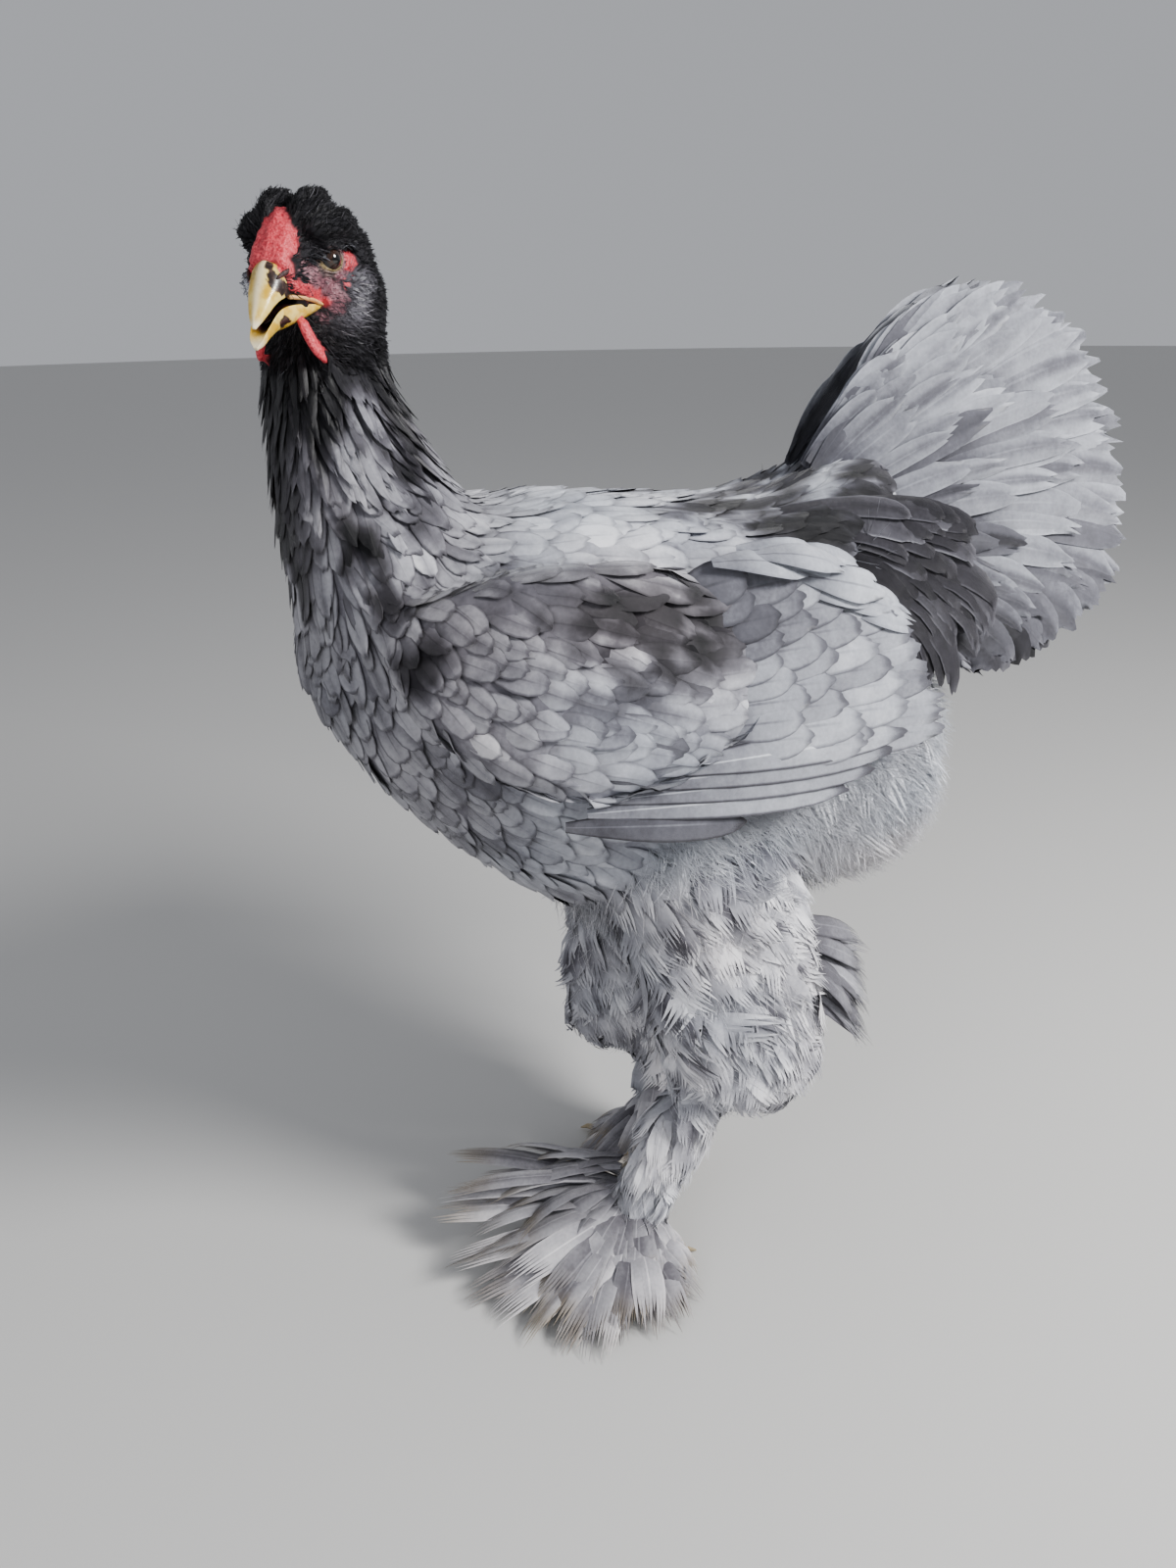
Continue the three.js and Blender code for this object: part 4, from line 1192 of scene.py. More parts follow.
def flesh_marks(plan, label):
    """How far each point is red, pink, lid, golden rim, dark or toe."""
    place = in_head(plan)
    distance, angle, up, back = round_eye(place)
    gap = (angle - lid_edge(up, back)) * distance
    near_eye = fade(-distance, -14.5, -12.0) * fade(angle, 0.2, 0.5)
    red = np.maximum(spotted(place, RED_SPOTS, 71), labelled(label, *RED_PARTS))
    width = 2.2 + 3.6 * fade(-back, -0.3, 0.4)
    lid = near_eye * fade(width - gap, 0.0, 1.2) * (1 - fade(up, 0.0, 0.4) * fade(gap, 0.6, 1.4))
    gold = near_eye * np.exp(-(((gap - 1.0) / 0.8) ** 2)) * 0.8
    # The dark band along the mouth line is painted shade in the slit between the bills.
    line = np.array(MOUTH_LINE)
    height = np.abs(place[:, 2] - np.interp(place[:, 1], line[:, 0], line[:, 1]))
    within = fade(-np.abs(place[:, 0]), -14.5, -12.5)
    within = within * fade(place[:, 1], -44, -40) * fade(-place[:, 1], 6, 9)
    return {
        "red": red * (1 - lid),
        "pink": spotted(place, PINK_SPOTS, 72),
        "lid": lid,
        "gold": gold * fade(-up, -0.3, 0.3),
        "dark": fade(-height, -5.0, -3.5) * within,
        "toe": labelled(label, "foot_left", "foot_right").astype(float),
    }


skin_plan = to_plan(read(skin_mesh.vertices, "co"))
skin_tone, skin_warm, _ = marks(skin_plan)
store(skin_mesh, "tone", skin_tone)
store(skin_mesh, "warm", skin_warm)
skin_edges = read(skin_mesh.edges, "vertices", 2, int)
for key, values in flesh_marks(skin_plan, skin_label).items():
    store(skin_mesh, key, blurred(values, skin_edges, 1))
skin_mesh.polygons.foreach_set("use_smooth", [True] * len(skin_mesh.polygons))
add_piece("skin", skin_mesh, skin_paint(), "blue_plumage", *FLESH)

# %% [markdown]
# A coat is grown in one call: roots on the chosen parts, combed lines, sizes that change over the body,
# and the markings read point by point, so that a dark cloud runs on from one feather to the next.

# %% Coats
CONTOUR = Pattern(5, 4)
SMALL = Pattern(3, 2)
LOCK = Pattern(4, 5, loose=True)
WISP = Pattern(3, 1)
LONG = Pattern(8, 6)
FRINGED = Pattern(7, 9, loose=True)
ROLL = 7.0


def coat(name, chosen, spacing, size, paint, slot, seed, look, pattern=CONTOUR, unrolled=unwrap, **comb):
    """Grows a piece on chosen triangles.

    `size(plan, draw)` gives the length, half width and rise of each feather in millimetres. In `look`, `lift`
    brightens the markings' tone, and `mottle` is how much it varies between feathers.
    """
    draw = np.random.default_rng(seed)
    roots = scatter(chosen, spacing, seed)
    length, half, rise = size(to_plan(roots), draw)
    lines, ups = combed(roots, length, rise, seed + 1, **comb)
    roll = np.radians(draw.normal(0, ROLL, len(roots)))[:, None, None]
    heading = unit(lines[:, -1] - lines[:, 0])[:, None, :]
    ups = unit(ups * np.cos(roll) + np.cross(np.broadcast_to(heading, ups.shape), ups) * np.sin(roll))
    tone = look.get("lift", 0.0) + draw.normal(0, look["mottle"], len(roots))
    look = {"tone": tone, "warm": 0.0, "lace": 0.0, "marked": True, "roots": unrolled(roots), **look}
    add_piece(name, lay(name, pattern, lines, ups, half * MM, look), paint, slot)


def even(value):
    return lambda plan: np.full(len(plan), float(value))


def sized(length, half, rise, uneven, spread, steady=False):
    """Sizes about one mean: they vary by the share `spread`, and the rise by `uneven` millimetres."""
    def size(plan, draw):
        grow = draw.normal(1, spread, len(plan))
        wide = np.full(len(plan), half) if steady else half * grow
        return length * grow, wide, draw.normal(rise, uneven, len(plan))
    return size


# %% [markdown]
# Breast, flanks, belly and back: broad, round-ended contour feathers, the smallest at the throat and the
# largest on the flank.

# %% Body coat
def downy(plan):
    """1 on the rear belly and under the tail, where down takes over from the contour feathers."""
    return fade(plan[:, 1] + 0.5 * (330 - plan[:, 2]), -20, 40) * fade(-plan[:, 2], -392, -362)


def body_size(plan, draw):
    grow = draw.normal(1, 0.07, len(plan))
    flank = fade(plan[:, 1], -140, -20)
    return (32 + 14 * flank) * grow, (8.2 + 2.6 * flank) * grow, draw.normal(3.8, 0.5, len(plan))


def body_gap(plan):
    return 9.0 + 2.2 * fade(plan[:, 1], -140, -20)


BODY_LOOK = {"blunt": 0.42, "waist": 0.6, "notch": 0.07, "mottle": 0.05}
FEATHERED = of_parts("trunk") & (downy(to_plan(ground.middle)) < 0.6)
DOWNY = of_parts("stern_fluff") | (of_parts("trunk") & (downy(to_plan(ground.middle)) > 0.4))
coat("body_feathers", FEATHERED, body_gap, body_size, CONTOUR_PAINT, "blue_plumage", 31, BODY_LOOK, stray=8)

# %% [markdown]
# Saddle: longer feathers run back over the rump to the root of the tail.

# %% Saddle coat
SADDLE_LOOK = {"blunt": 0.4, "waist": 0.55, "notch": 0.08, "mottle": 0.05}
coat("saddle_feathers", of_parts("saddle"), even(9.0), sized(52, 8.5, 4.2, 0.6, 0.08), CONTOUR_PAINT,
     "blue_plumage", 41, SADDLE_LOOK, stray=5)

# %% [markdown]
# Neck: narrow hackles hang down from the hood, finer towards the head. Below them the neck has broader,
# softer feathers that lie closer to it and lead over to those of the breast.

# %% Neck coat
HACKLES_END = 582.0
HOODED = to_plan(ground.middle)[:, 2] > HACKLES_END


def hackle_size(plan, draw):
    grow = draw.normal(1, 0.1, len(plan)) * (0.65 + 0.35 * fade(-plan[:, 2], -640, -580))
    return 48 * grow, 3.7 * grow, draw.normal(5.4, 0.9, len(plan))


def neck_unwrap(points):
    plan = to_plan(points)
    turn = np.arctan2(plan[:, 0], plan[:, 1] + 100) / FULL_TURN + 0.5
    return np.stack([0.02 + 0.96 * turn, np.clip((plan[:, 2] - 440) / 270, 0.01, 0.99)], axis=1)


coat("neck_feathers", of_parts("neck") & ~HOODED, even(7.2), sized(42, 7.0, 4.2, 0.8, 0.12), CONTOUR_PAINT,
     "blue_plumage", 53, {"blunt": 0.36, "waist": 0.56, "notch": 0.12, "mottle": 0.06},
     unrolled=neck_unwrap, stray=9)
coat("neck_hackles", of_parts("neck") & HOODED, even(4.2), hackle_size, NECK_PAINT,
     "slate_plumage", 51, {"blunt": 0.22, "waist": 0.4, "notch": 0.14, "mottle": 0.05},
     unrolled=neck_unwrap, stray=6)

# %% [markdown]
# Wing coverts: on the shoulder they are small and round like scales, and they grow towards the wing's
# rear edge, where they cover the roots of the long feathers.

# %% Wing coat
def wing_size(plan, draw):
    grow = draw.normal(1, 0.09, len(plan))
    rear = fade(plan[:, 1], -110, 80)
    return (34 + 38 * rear) * grow, (7.6 + 4.2 * rear) * grow, draw.normal(3.6, 0.7, len(plan))


def wing_gap(plan):
    return 8.6 + 4.6 * fade(plan[:, 1], -110, 80)


coat("wing_coverts", of_parts("wing_left", "wing_right"), wing_gap, wing_size, CONTOUR_PAINT,
     "blue_plumage", 61, {"blunt": 0.42, "waist": 0.6, "notch": 0.06, "mottle": 0.05}, stray=8)

# %% [markdown]
# The stern and vent carry down: very soft plumes that hardly overlap like shingles, but stand off the
# body in a loose ball. Locks with ragged ends give the mass, and fine wisps break its outline.

# %% Stern fluff
def stern_size(plan, draw):
    grow = draw.normal(1, 0.15, len(plan))
    deep = (6 + 7 * fade(plan[:, 1], 60, 180)) * (1 + 0.35 * ripple(plan, 15, 33))
    return 40 * grow, 8.5 * grow, deep * draw.normal(1, 0.15, len(plan))


# The locks' lift is partly the down's own pale colour and partly painted light, which brightens fluff lying
# in the wing's shade.
LOCK_LOOK = {"blunt": 0.6, "waist": 0.5, "notch": 0.3, "sway": 0.4, "lift": 0.20, "mottle": 0.03}
coat("stern_fluff_locks", DOWNY, even(7.4), stern_size, FLUFF_PAINT, "silver_plumage", 71, LOCK_LOOK,
     pattern=LOCK, stray=16, swirl=26)

# %% [markdown]
# Thighs and shanks: long, soft feathers with frayed ends, which swirl a little, each on its own way down.
# On the thigh tufts of loose barbs stand up between them.

# %% Leg coat
def leg_unwrap(points):
    plan = to_plan(points)
    turn = np.arctan2(np.abs(plan[:, 0]) - 74, plan[:, 1] - 70) / FULL_TURN + 0.5
    half = np.where(plan[:, 0] > 0, 0.5, 0.0)
    return np.stack([half + 0.01 + 0.48 * turn, np.clip(plan[:, 2] / 420, 0.01, 0.99)], axis=1)


THIGH_LOOK = {"blunt": 0.65, "waist": 0.6, "notch": 0.2, "mottle": 0.10, "sway": 0.06, "free_from": 0.74}
TUFT_LOOK = {"blunt": 0.7, "waist": 0.5, "notch": 0.3, "mottle": 0.09, "sway": 0.1, "free_from": 0.7}
SHANK_LOOK = {"blunt": 0.6, "waist": 0.55, "notch": 0.2, "mottle": 0.07, "sway": 0.06, "free_from": 0.72,
              "lift": 0.17}
for number, side in enumerate(("left", "right")):
    thigh = of_parts(f"thigh_{side}")
    coat(f"thigh_feathers_{side}", thigh, even(11.0), sized(54, 12.5, 8.0, 1.8, 0.14), THIGH_PAINT,
         "blue_plumage", 81 + number, THIGH_LOOK, FRINGED, leg_unwrap, stray=14, swirl=26)
    coat(f"thigh_tufts_{side}", thigh, even(13.0), sized(42, 8.0, 11.0, 2.0, 0.2), THIGH_PAINT,
         "blue_plumage", 85 + number, TUFT_LOOK, LOCK, leg_unwrap, stray=18, swirl=30)
coat("shank_feathers", of_parts("shank_left", "shank_right"), even(8.0), sized(44, 8.0, 8.0, 1.8, 0.14),
     THIGH_PAINT, "silver_plumage", 91, SHANK_LOOK, FRINGED, leg_unwrap, stray=12, swirl=12)

# %% [markdown]
# Wisps: single barbs of down, thinner than a millimetre. They soften the edge of every fluffy part.

# %% Wisps
def wisp_size(low, high):
    def size(plan, draw):
        grow = draw.normal(1, 0.25, len(plan))
        return 26 * grow, np.full(len(plan), 0.25), draw.uniform(low, high, len(plan))
    return size


# The wisps' lift is partly the down's own pale colour and partly painted light, which brightens down lying in
# shade under wing and body.
WISP_LOOK = {"blunt": 0.1, "waist": 0.3, "round": 0.0, "notch": 0.0, "lift": 0.24, "mottle": 0.03}
for number, (low, high) in enumerate(((5, 12), (9, 17), (13, 21))):
    coat(f"stern_wisps_{number + 1}", DOWNY, even(2.3), wisp_size(low, high), FLUFF_PAINT, "silver_plumage",
         95 + number, WISP_LOOK, WISP, stray=34, swirl=20, steps=3)
LEGS = of_parts("thigh_left", "thigh_right", "shank_left", "shank_right")
coat("leg_wisps", LEGS, even(4.4), wisp_size(6, 13), FLUFF_PAINT, "silver_plumage",
     105, WISP_LOOK, WISP, leg_unwrap, stray=24, swirl=24, steps=3)

# %% [markdown]
# The long feathers are laid one by one. Each runs from a root to a tip, both given as functions along its
# row, and bows outwards between them.

# %% Rows of long feathers
def bowed(roots, tips, faces, bend, stations=9):
    """Centre lines between points of the plan, bowed towards `faces` by `bend` millimetres."""
    u = np.linspace(0, 1, stations)[None, :, None]
    bend = np.broadcast_to(np.asarray(bend, float), (len(roots),))[:, None, None]
    faces = unit(faces)
    lines = roots[:, None] * (1 - u) + tips[:, None] * u + faces[:, None] * (4 * u * (1 - u) * bend)
    return to_frame(lines), np.broadcast_to(faces[:, None], lines.shape).copy()


def mirrored(lines, ups, side):
    """The lines as they are for the left side, or their mirror image for the right."""
    flip = np.array((side, 1, 1))
    return lines * flip, ups * flip


def curved(starts, middles, tips, stations=9):
    """Lines in the plan that leave the starts towards `middles` and come down on the tips."""
    u = np.linspace(0, 1, stations)[None, :, None]
    return starts[:, None] * (1 - u) ** 2 + middles[:, None] * 2 * u * (1 - u) + tips[:, None] * u**2


def spaced(count, number, draw, uneven):
    """Even places from 0 to 1 along a row. Each second row is set off by half a feather."""
    t = (np.arange(count) + 0.5 * (number % 2)) / (count - 0.5)
    return np.clip(t + draw.normal(0, uneven, count), 0, 1)


def one_piece(name, rows, paint, slot, *nodes, pattern=LONG, **look):
    """Lays rows of feathers as one piece. A row is its lines, facings, half widths and tones."""
    lines, ups, half, tone = (np.concatenate(parts) for parts in zip(*rows))
    add_piece(name, lay(name, pattern, lines, ups, half * MM, {"tone": tone, **look}), paint, slot, *nodes)


# %% [markdown]
# The tail is a tent of two halves. On each half the feathers lie in rows like roof tiles: the outer row
# has the longest ones, and each row nearer the body covers the roots of the last and lies a little
# further out.

# %% Tail
TAIL_ROOTS = ((8, 152, 544), (42, 178, 440))
TAIL_TIPS = ((3, 228, 626), (8, 276, 650), (14, 328, 636), (20, 372, 592),
             (28, 394, 524), (42, 386, 462), (58, 330, 424), (66, 270, 408))
TAIL_ROWS = (1.0, 0.97, 0.84, 0.71, 0.58, 0.46)
TAIL_GAP = 19.0
TAIL_RIM = 440.0


def tail_point(t, fraction, out):
    root = np.asarray(TAIL_ROOTS[0]) * (1 - t)[:, None] + np.asarray(TAIL_ROOTS[1]) * t[:, None]
    place = root + (along_curve(TAIL_TIPS, t) - root) * fraction[:, None]
    bulge = 8 * 4 * fraction * (1 - fraction)
    return place + np.array((1, 0, 0.2)) * (bulge + out)[:, None]


def tail_row(number, reach, side):
    draw = np.random.default_rng(200 + number * 2 + side)
    count = max(6, round(TAIL_RIM * reach / TAIL_GAP))
    t = (np.arange(count) + 0.25 + 0.5 * (number % 2)) / count + draw.normal(0, 0.18 / count, count)
    t = np.clip(t, 0.0, 1.0)
    tip = reach * draw.normal(1, 0.008 if number < 2 else 0.07, count)
    tip = np.minimum(tip, 1.0 if number < 2 else 0.95)
    start = np.clip(tip - 0.52, 0.0, 1.0)
    out = 1.4 * number
    droop = 0.035 + 0.05 * t
    tips = tail_point(t, tip, out + 1.5 + draw.normal(0, 1.2, count))
    middles = tail_point(np.clip(t - 1.2 * droop, 0, 1), (tip + start) / 2, np.full(count, out + 0.5))
    starts = tail_point(np.clip(t - droop, 0, 1), start, np.full(count, out - 4.0))
    lines = curved(starts, middles, tips)
    ups = np.broadcast_to(unit((1.0, 0, 0.2)), lines.shape) + draw.normal(0, 0.12, (count, 1, 3))
    half = 12.5 * draw.normal(1, 0.12, count) * (0.75 + 0.25 * reach) + 2.5 * (number < 2)
    tone = 0.68 + draw.normal(0, 0.045, count) - 0.30 * fade(t, 0.66, 0.95)
    tone = tone - 0.22 * (draw.random(count) < 0.10)
    return *mirrored(to_frame(lines), unit(ups), side), half, tone


def tail_edge(side):
    """Narrow dark feathers up the tail's front edge."""
    draw = np.random.default_rng(290 + side)
    count = 12
    t = draw.uniform(0, 0.10, count)
    reach = draw.uniform(0.6, 1.0, count)
    roots = tail_point(t, np.full(count, 0.02), draw.uniform(-2, 6, count))
    tips = tail_point(t * 0.6, reach, draw.uniform(0, 5, count)) + np.array((0, -6, 0))
    lines, ups = bowed(roots, tips, np.tile((1.0, -0.3, 0.3), (count, 1)), 5)
    # Their tone is partly their own mid grey and partly painted light: it is raised to brighten the tail's
    # far half, which lies in shade.
    return *mirrored(lines, ups, side), 6.5 * draw.normal(1, 0.1, count), 0.58 + draw.normal(0, 0.08, count)


tail = []
for side in SIDES:
    tail += [tail_row(number, reach, side) for number, reach in enumerate(TAIL_ROWS)] + [tail_edge(side)]
one_piece("tail_feathers", tail, TAIL_PAINT, "silver_plumage", "tail_left", "tail_right",
          warm=0.15, lace=1.0, blunt=0.5, waist=0.64, notch=0.12, camber=0.14)

# %% [markdown]
# Tail coverts: long, dark, curved feathers that droop over the tail's root, each with a silver edge.

# %% Tail coverts
def covert_row(side):
    draw = np.random.default_rng(310 + side)
    count = 62
    layer = np.arange(count) / count
    t = draw.random(count)
    reach = 1 - 0.55 * layer
    roots = columns(36 + 28 * t, 98 + 16 * t, 521 - 33 * t)
    tips = columns(66 + 16 * t, 140 + (92 + 30 * np.sin(math.pi * t)) * reach, 520 - 118 * t)
    tips[:, 0] += 3 * layer
    middles = np.stack([tips[:, 0] + 2, tips[:, 1] + 6 - 20 * (1 - t), tips[:, 2] + 16 + 50 * t], axis=1)
    faces = unit(columns(0.9, 0.15, 0.5 - 0.25 * t) + draw.normal(0, 0.08, (count, 3)))
    lines = curved(roots, middles, tips)
    ups = np.broadcast_to(faces[:, None], lines.shape)
    half = 8.0 * draw.normal(1, 0.14, count)
    tone = 0.14 + 0.26 * draw.random(count) ** 2
    return *mirrored(to_frame(lines), ups, side), half, tone


one_piece("tail_covert_feathers", [covert_row(side) for side in SIDES], COVERT_PAINT, "slate_plumage",
          "tail_coverts_left", "tail_coverts_right",
          warm=0.3, lace=1.0, blunt=0.4, waist=0.55, notch=0.08, camber=0.2)

# %% [markdown]
# Under the tail lies a cushion of rounded feathers, between the long ones and the down.

# %% Tail cushion
def cushion_row():
    draw = np.random.default_rng(330)
    count = 44
    a = draw.uniform(-1, 1, count)
    layer = draw.random(count)
    roots = columns(46 * a, 200 - 10 * layer, 424 + 6 * a**2 + 6 * layer)
    reach = 0.65 + 0.35 * (1 - layer)
    tips = columns(70 * a, 206 + (92 - 44 * a**2) * reach, 390 + 26 * a**2 + 14 * layer)
    faces = columns(0.5 * a, 0.35, 0.9)
    lines, ups = bowed(roots, tips, faces, 10)
    return lines, ups, 10.5 * draw.normal(1, 0.1, count), 0.56 + draw.normal(0, 0.08, count)


one_piece("tail_cushion_feathers", [cushion_row()], CONTOUR_PAINT, "blue_plumage", "tail_cushion",
          warm=0.25, lace=0.6, blunt=0.45, waist=0.6, notch=0.12, camber=0.2)

# %% [markdown]
# The folded wing ends in two bunches. The secondaries lie on top of one another along the flank, and the
# stiff primaries show below them as straight narrow blades with pale shafts.

# %% Long wing feathers
def secondary_point(t, fraction, out):
    """A place on the folded secondaries: t from the lowest to the top one, fraction from root to tip."""
    roots = columns(122 - 18 * t, 30 - 14 * t, 404 + 88 * t)
    tips = columns(108 - 20 * t, 206 - 70 * t**2, 394 + 106 * t)
    bulge = 9 * 4 * fraction * (1 - fraction) + out
    face = columns(1, 0, 0.2 + 0.3 * t)
    return roots + (tips - roots) * fraction[:, None] + face * bulge[:, None], face


SECONDARY_TIERS = (
    # tip, length as a share of the whole, number, half width
    (1.0, 0.8, 11, 11.5), (0.80, 0.62, 9, 12.0), (0.58, 0.5, 9, 12.5), (0.40, 0.36, 9, 12.0),
)


def secondary_tier(number, side):
    draw = np.random.default_rng(350 + side + 3 * number)
    reach, share, count, half = SECONDARY_TIERS[number]
    t = spaced(count, number, draw, 0.012)
    tip = np.minimum(1.02, reach * draw.normal(1, 0.012 if number == 0 else 0.07, count))
    start = np.full(count, reach - share)
    out = 1.6 * number
    tips, face = secondary_point(t, tip, out + 1.2 + draw.normal(0, 0.4, count))
    middles, _ = secondary_point(t, (tip + start) / 2, np.full(count, out + 0.6))
    starts, _ = secondary_point(t, start, np.full(count, out - 5.0))
    lines = curved(starts, middles, tips)
    ups = unit(np.broadcast_to(face[:, None], lines.shape) + draw.normal(0, 0.04, (count, 1, 3)))
    smudged = fade(t, 0.35, 0.8) * (number / 3)
    tone = 0.74 - 0.26 * smudged + draw.normal(0, 0.035, count)
    return *mirrored(to_frame(lines), ups, side), half * draw.normal(1, 0.05, count), tone


def primary_row(side):
    draw = np.random.default_rng(370 + side)
    count = 5
    t = np.linspace(0, 1, count)
    roots = columns(125 + 3 * t, -50 + 50 * t, 376 + 26 * t)
    tips = columns(127 - 10 * t, 60 + 112 * t**0.35, 362 + 37 * t)
    faces = columns(1, 0, np.full(count, 0.3))
    lines, ups = bowed(roots, tips, faces, 6)
    # The lowest primary is painted darker: painted shade for the deep shadow under the folded wing.
    tone = 0.75 - 0.34 * fade(-t, -0.2, -0.1) + draw.normal(0, 0.03, count)
    return *mirrored(lines, ups, side), 9.8 * draw.normal(1, 0.05, count), tone


def scapular_row(side):
    """The loose white-tipped feathers that end over the rear of the wing."""
    draw = np.random.default_rng(340 + side)
    count = 9
    t = np.linspace(0, 1, count)
    tips = columns(101 - 10 * t, 108 + 84 * t, 502 - 44 * t**1.5) + draw.normal(0, 3, (count, 3))
    roots = tips + columns(4, -62, 12 + 8 * t)
    faces = columns(0.8, 0.1, np.full(count, 0.6)) + draw.normal(0, 0.2, (count, 3))
    lines, ups = bowed(roots, tips, faces, 6)
    half = 10.0 * draw.normal(1, 0.1, count)
    return *mirrored(lines, ups, side), half, 0.82 + draw.normal(0, 0.03, count)


TIERS = range(len(SECONDARY_TIERS))
one_piece("primary_feathers", [primary_row(side) for side in SIDES], PRIMARY_PAINT, "silver_plumage",
          "wing_primaries_left", "wing_primaries_right",
          warm=0.15, lace=1.0, blunt=0.4, waist=0.6, notch=0.02, camber=0.12)
one_piece("secondary_feathers", [secondary_tier(number, side) for side in SIDES for number in TIERS],
          QUILL_PAINT, "silver_plumage", "wing_secondaries_left", "wing_secondaries_right",
          warm=0.15, lace=0.9, blunt=0.42, waist=0.6, notch=0.05, camber=0.12)
one_piece("scapular_feathers", [scapular_row(side) for side in SIDES], QUILL_PAINT, "silver_plumage",
          warm=0.05, lace=0.2, blunt=0.5, waist=0.6, notch=0.3, camber=0.12)

# %% [markdown]
# Hock tufts: a bunch of stiff feathers points back and down off each thigh.

# %% Hock tufts
def hock_row(side):
    draw = np.random.default_rng(390 + side)
    count = 44
    t = draw.random(count)
    shift = 0 if side > 0 else 6
    roots = columns(54 + 26 * t, 112 + shift, 246 - 10 * t) + draw.normal(0, 4, (count, 3))
    tips = columns(46 + 36 * t, 212 - 26 * t + shift, 212 - 64 * t) + draw.normal(0, 4, (count, 3))
    tips = roots + (tips - roots) * draw.uniform(0.65, 1.0, (count, 1))
    faces = columns(0.6, 0.3, np.full(count, 0.8)) + draw.normal(0, 0.2, (count, 3))
    lines, ups = bowed(roots, tips, faces, 14)
    return *mirrored(lines, ups, side), 7.5 * draw.normal(1, 0.12, count), 0.54 + draw.normal(0, 0.1, count)


one_piece("hock_feathers", [hock_row(side) for side in SIDES], HOCK_PAINT, "slate_plumage",
          "hock_tuft_left", "hock_tuft_right", pattern=FRINGED,
          warm=0.4, lace=1.0, blunt=0.5, waist=0.55, notch=0.2, camber=0.2, sway=0.08, free_from=0.74)

# %% [markdown]
# Foot feathers: on each foot long feathers fan out over the toes, row over row from the outer side to the
# inner, their ends worn and dirty from the ground. The right foot stands further off and has a smaller
# fan.

# %% Foot feathers
FANS = (
    # the foot's centre in the plan, side, reach, feathers in a row, seed
    ((62.0, 16.0), 1, 1.0, 24, 401),
    ((-50.0, 84.0), -1, 0.66, 19, 411),
)
FAN_START = -50.0
FAN_END = 146.0
FAN_ROWS = (1.0, 0.87, 0.74, 0.60, 0.46)


def beyond(ankle, heading, side, distance, height):
    """A point at a heading from the foot's centre: 0 is ahead, and positive headings turn outwards."""
    turn = np.radians(heading)
    return columns(ankle[0] + side * np.sin(turn) * distance, ankle[1] - np.cos(turn) * distance, height)


def foot_rows(ankle, side, reach, count, seed):
    draw = np.random.default_rng(seed)
    for number, fraction in enumerate(FAN_ROWS):
        t = spaced(count, number, draw, 0.02)
        heading = FAN_START + (FAN_END - FAN_START) * t
        length = reach * (48 + 118 * (1 - t) ** 1.2) * fraction * draw.uniform(0.9, 1.0, count)
        inner = np.clip(0.3 - t, 0, 1) / 0.3
        roots = beyond(ankle, heading, side, 10.0, 26 + 36 * inner * reach + 7 * number)
        tips = beyond(ankle, heading + draw.normal(0, 8, count), side, length,
                      np.maximum(1.2, 2.2 + 42 * inner * reach + 5.0 * number * fraction))
        faces = np.tile((0.0, 0.0, 1.0), (count, 1)) + draw.normal(0, 0.28, (count, 3))
        lines, ups = bowed(roots, tips, faces, reach * draw.uniform(5, 14, count))
        half = 10.5 * draw.normal(1, 0.18, count) * (0.7 + 0.3 * reach) * (0.75 + 0.25 * fraction)
        yield lines, ups, half, 0.74 + draw.normal(0, 0.09, count)


one_piece("foot_feather_fans", [row for fan in FANS for row in foot_rows(*fan)], FOOT_PAINT,
          "silver_plumage", "foot_feathers_left", "foot_feathers_right", pattern=FRINGED,
          warm=0.6, lace=1.0, blunt=0.7, waist=0.66, notch=0.2, camber=0.2, sway=0.06, free_from=0.8)

# %% [markdown]
# The face. Small feathers cover the crown, the brows and the throat, finer ones the ear, and short hairs
# stand on the purplish skin of the lore and cheek. What is red stays bare. Over each eye a row of
# feathers makes the brow.

# %% Face coat
face_marks = flesh_marks(to_plan(ground.middle), ground.label)
face_red = np.maximum(face_marks["red"], np.maximum(face_marks["lid"], face_marks["dark"])) > 0.4
face_pink = (face_marks["pink"] > 0.4) & ~face_red
face_parts = of_parts("head", "neck", "ear_lobe_left", "ear_lobe_right")
face_near = np.linalg.norm(in_head(to_plan(ground.middle)), axis=1) < 48
FACE_LOOK = {"blunt": 0.35, "waist": 0.45, "round": 0.2, "notch": 0.15, "mottle": 0.02, "thick": 0.12 * MM}
HAIR_LOOK = {"blunt": 0.15, "waist": 0.3, "notch": 0.0, "mottle": 0.06, "thick": 0.12 * MM}
ON_HEAD = {"lie": face_lie_at, "unrolled": neck_unwrap}
NAPE_START = 604.0
nape = of_parts("neck") & (to_plan(ground.middle)[:, 2] > NAPE_START)
covered = (of_parts("head") | nape) & ~face_red & ~face_pink


def crown(plan):
    """0 on the face, and 1 on the crown, nape and throat, where the small feathers are longer."""
    place = in_head(plan)
    return np.maximum(fade(place[:, 1] + 0.5 * place[:, 2], -18, 24), fade(-place[:, 2], 24, 36))


def face_size(plan, draw):
    back = crown(plan)
    grow = draw.normal(1, 0.13, len(plan))
    rise = 0.6 + 1.6 * back + draw.normal(0, 0.25, len(plan))
    return (5 + 6 * back) * grow, (0.75 + 0.55 * back) * grow, rise


def face_gap(plan):
    return 1.6 + 0.6 * crown(plan)


coat("face_feathers", covered, face_gap, face_size, FACE_PAINT, "black_plumage",
     121, FACE_LOOK, SMALL, sink=0.3, steps=3, stray=11, **ON_HEAD)


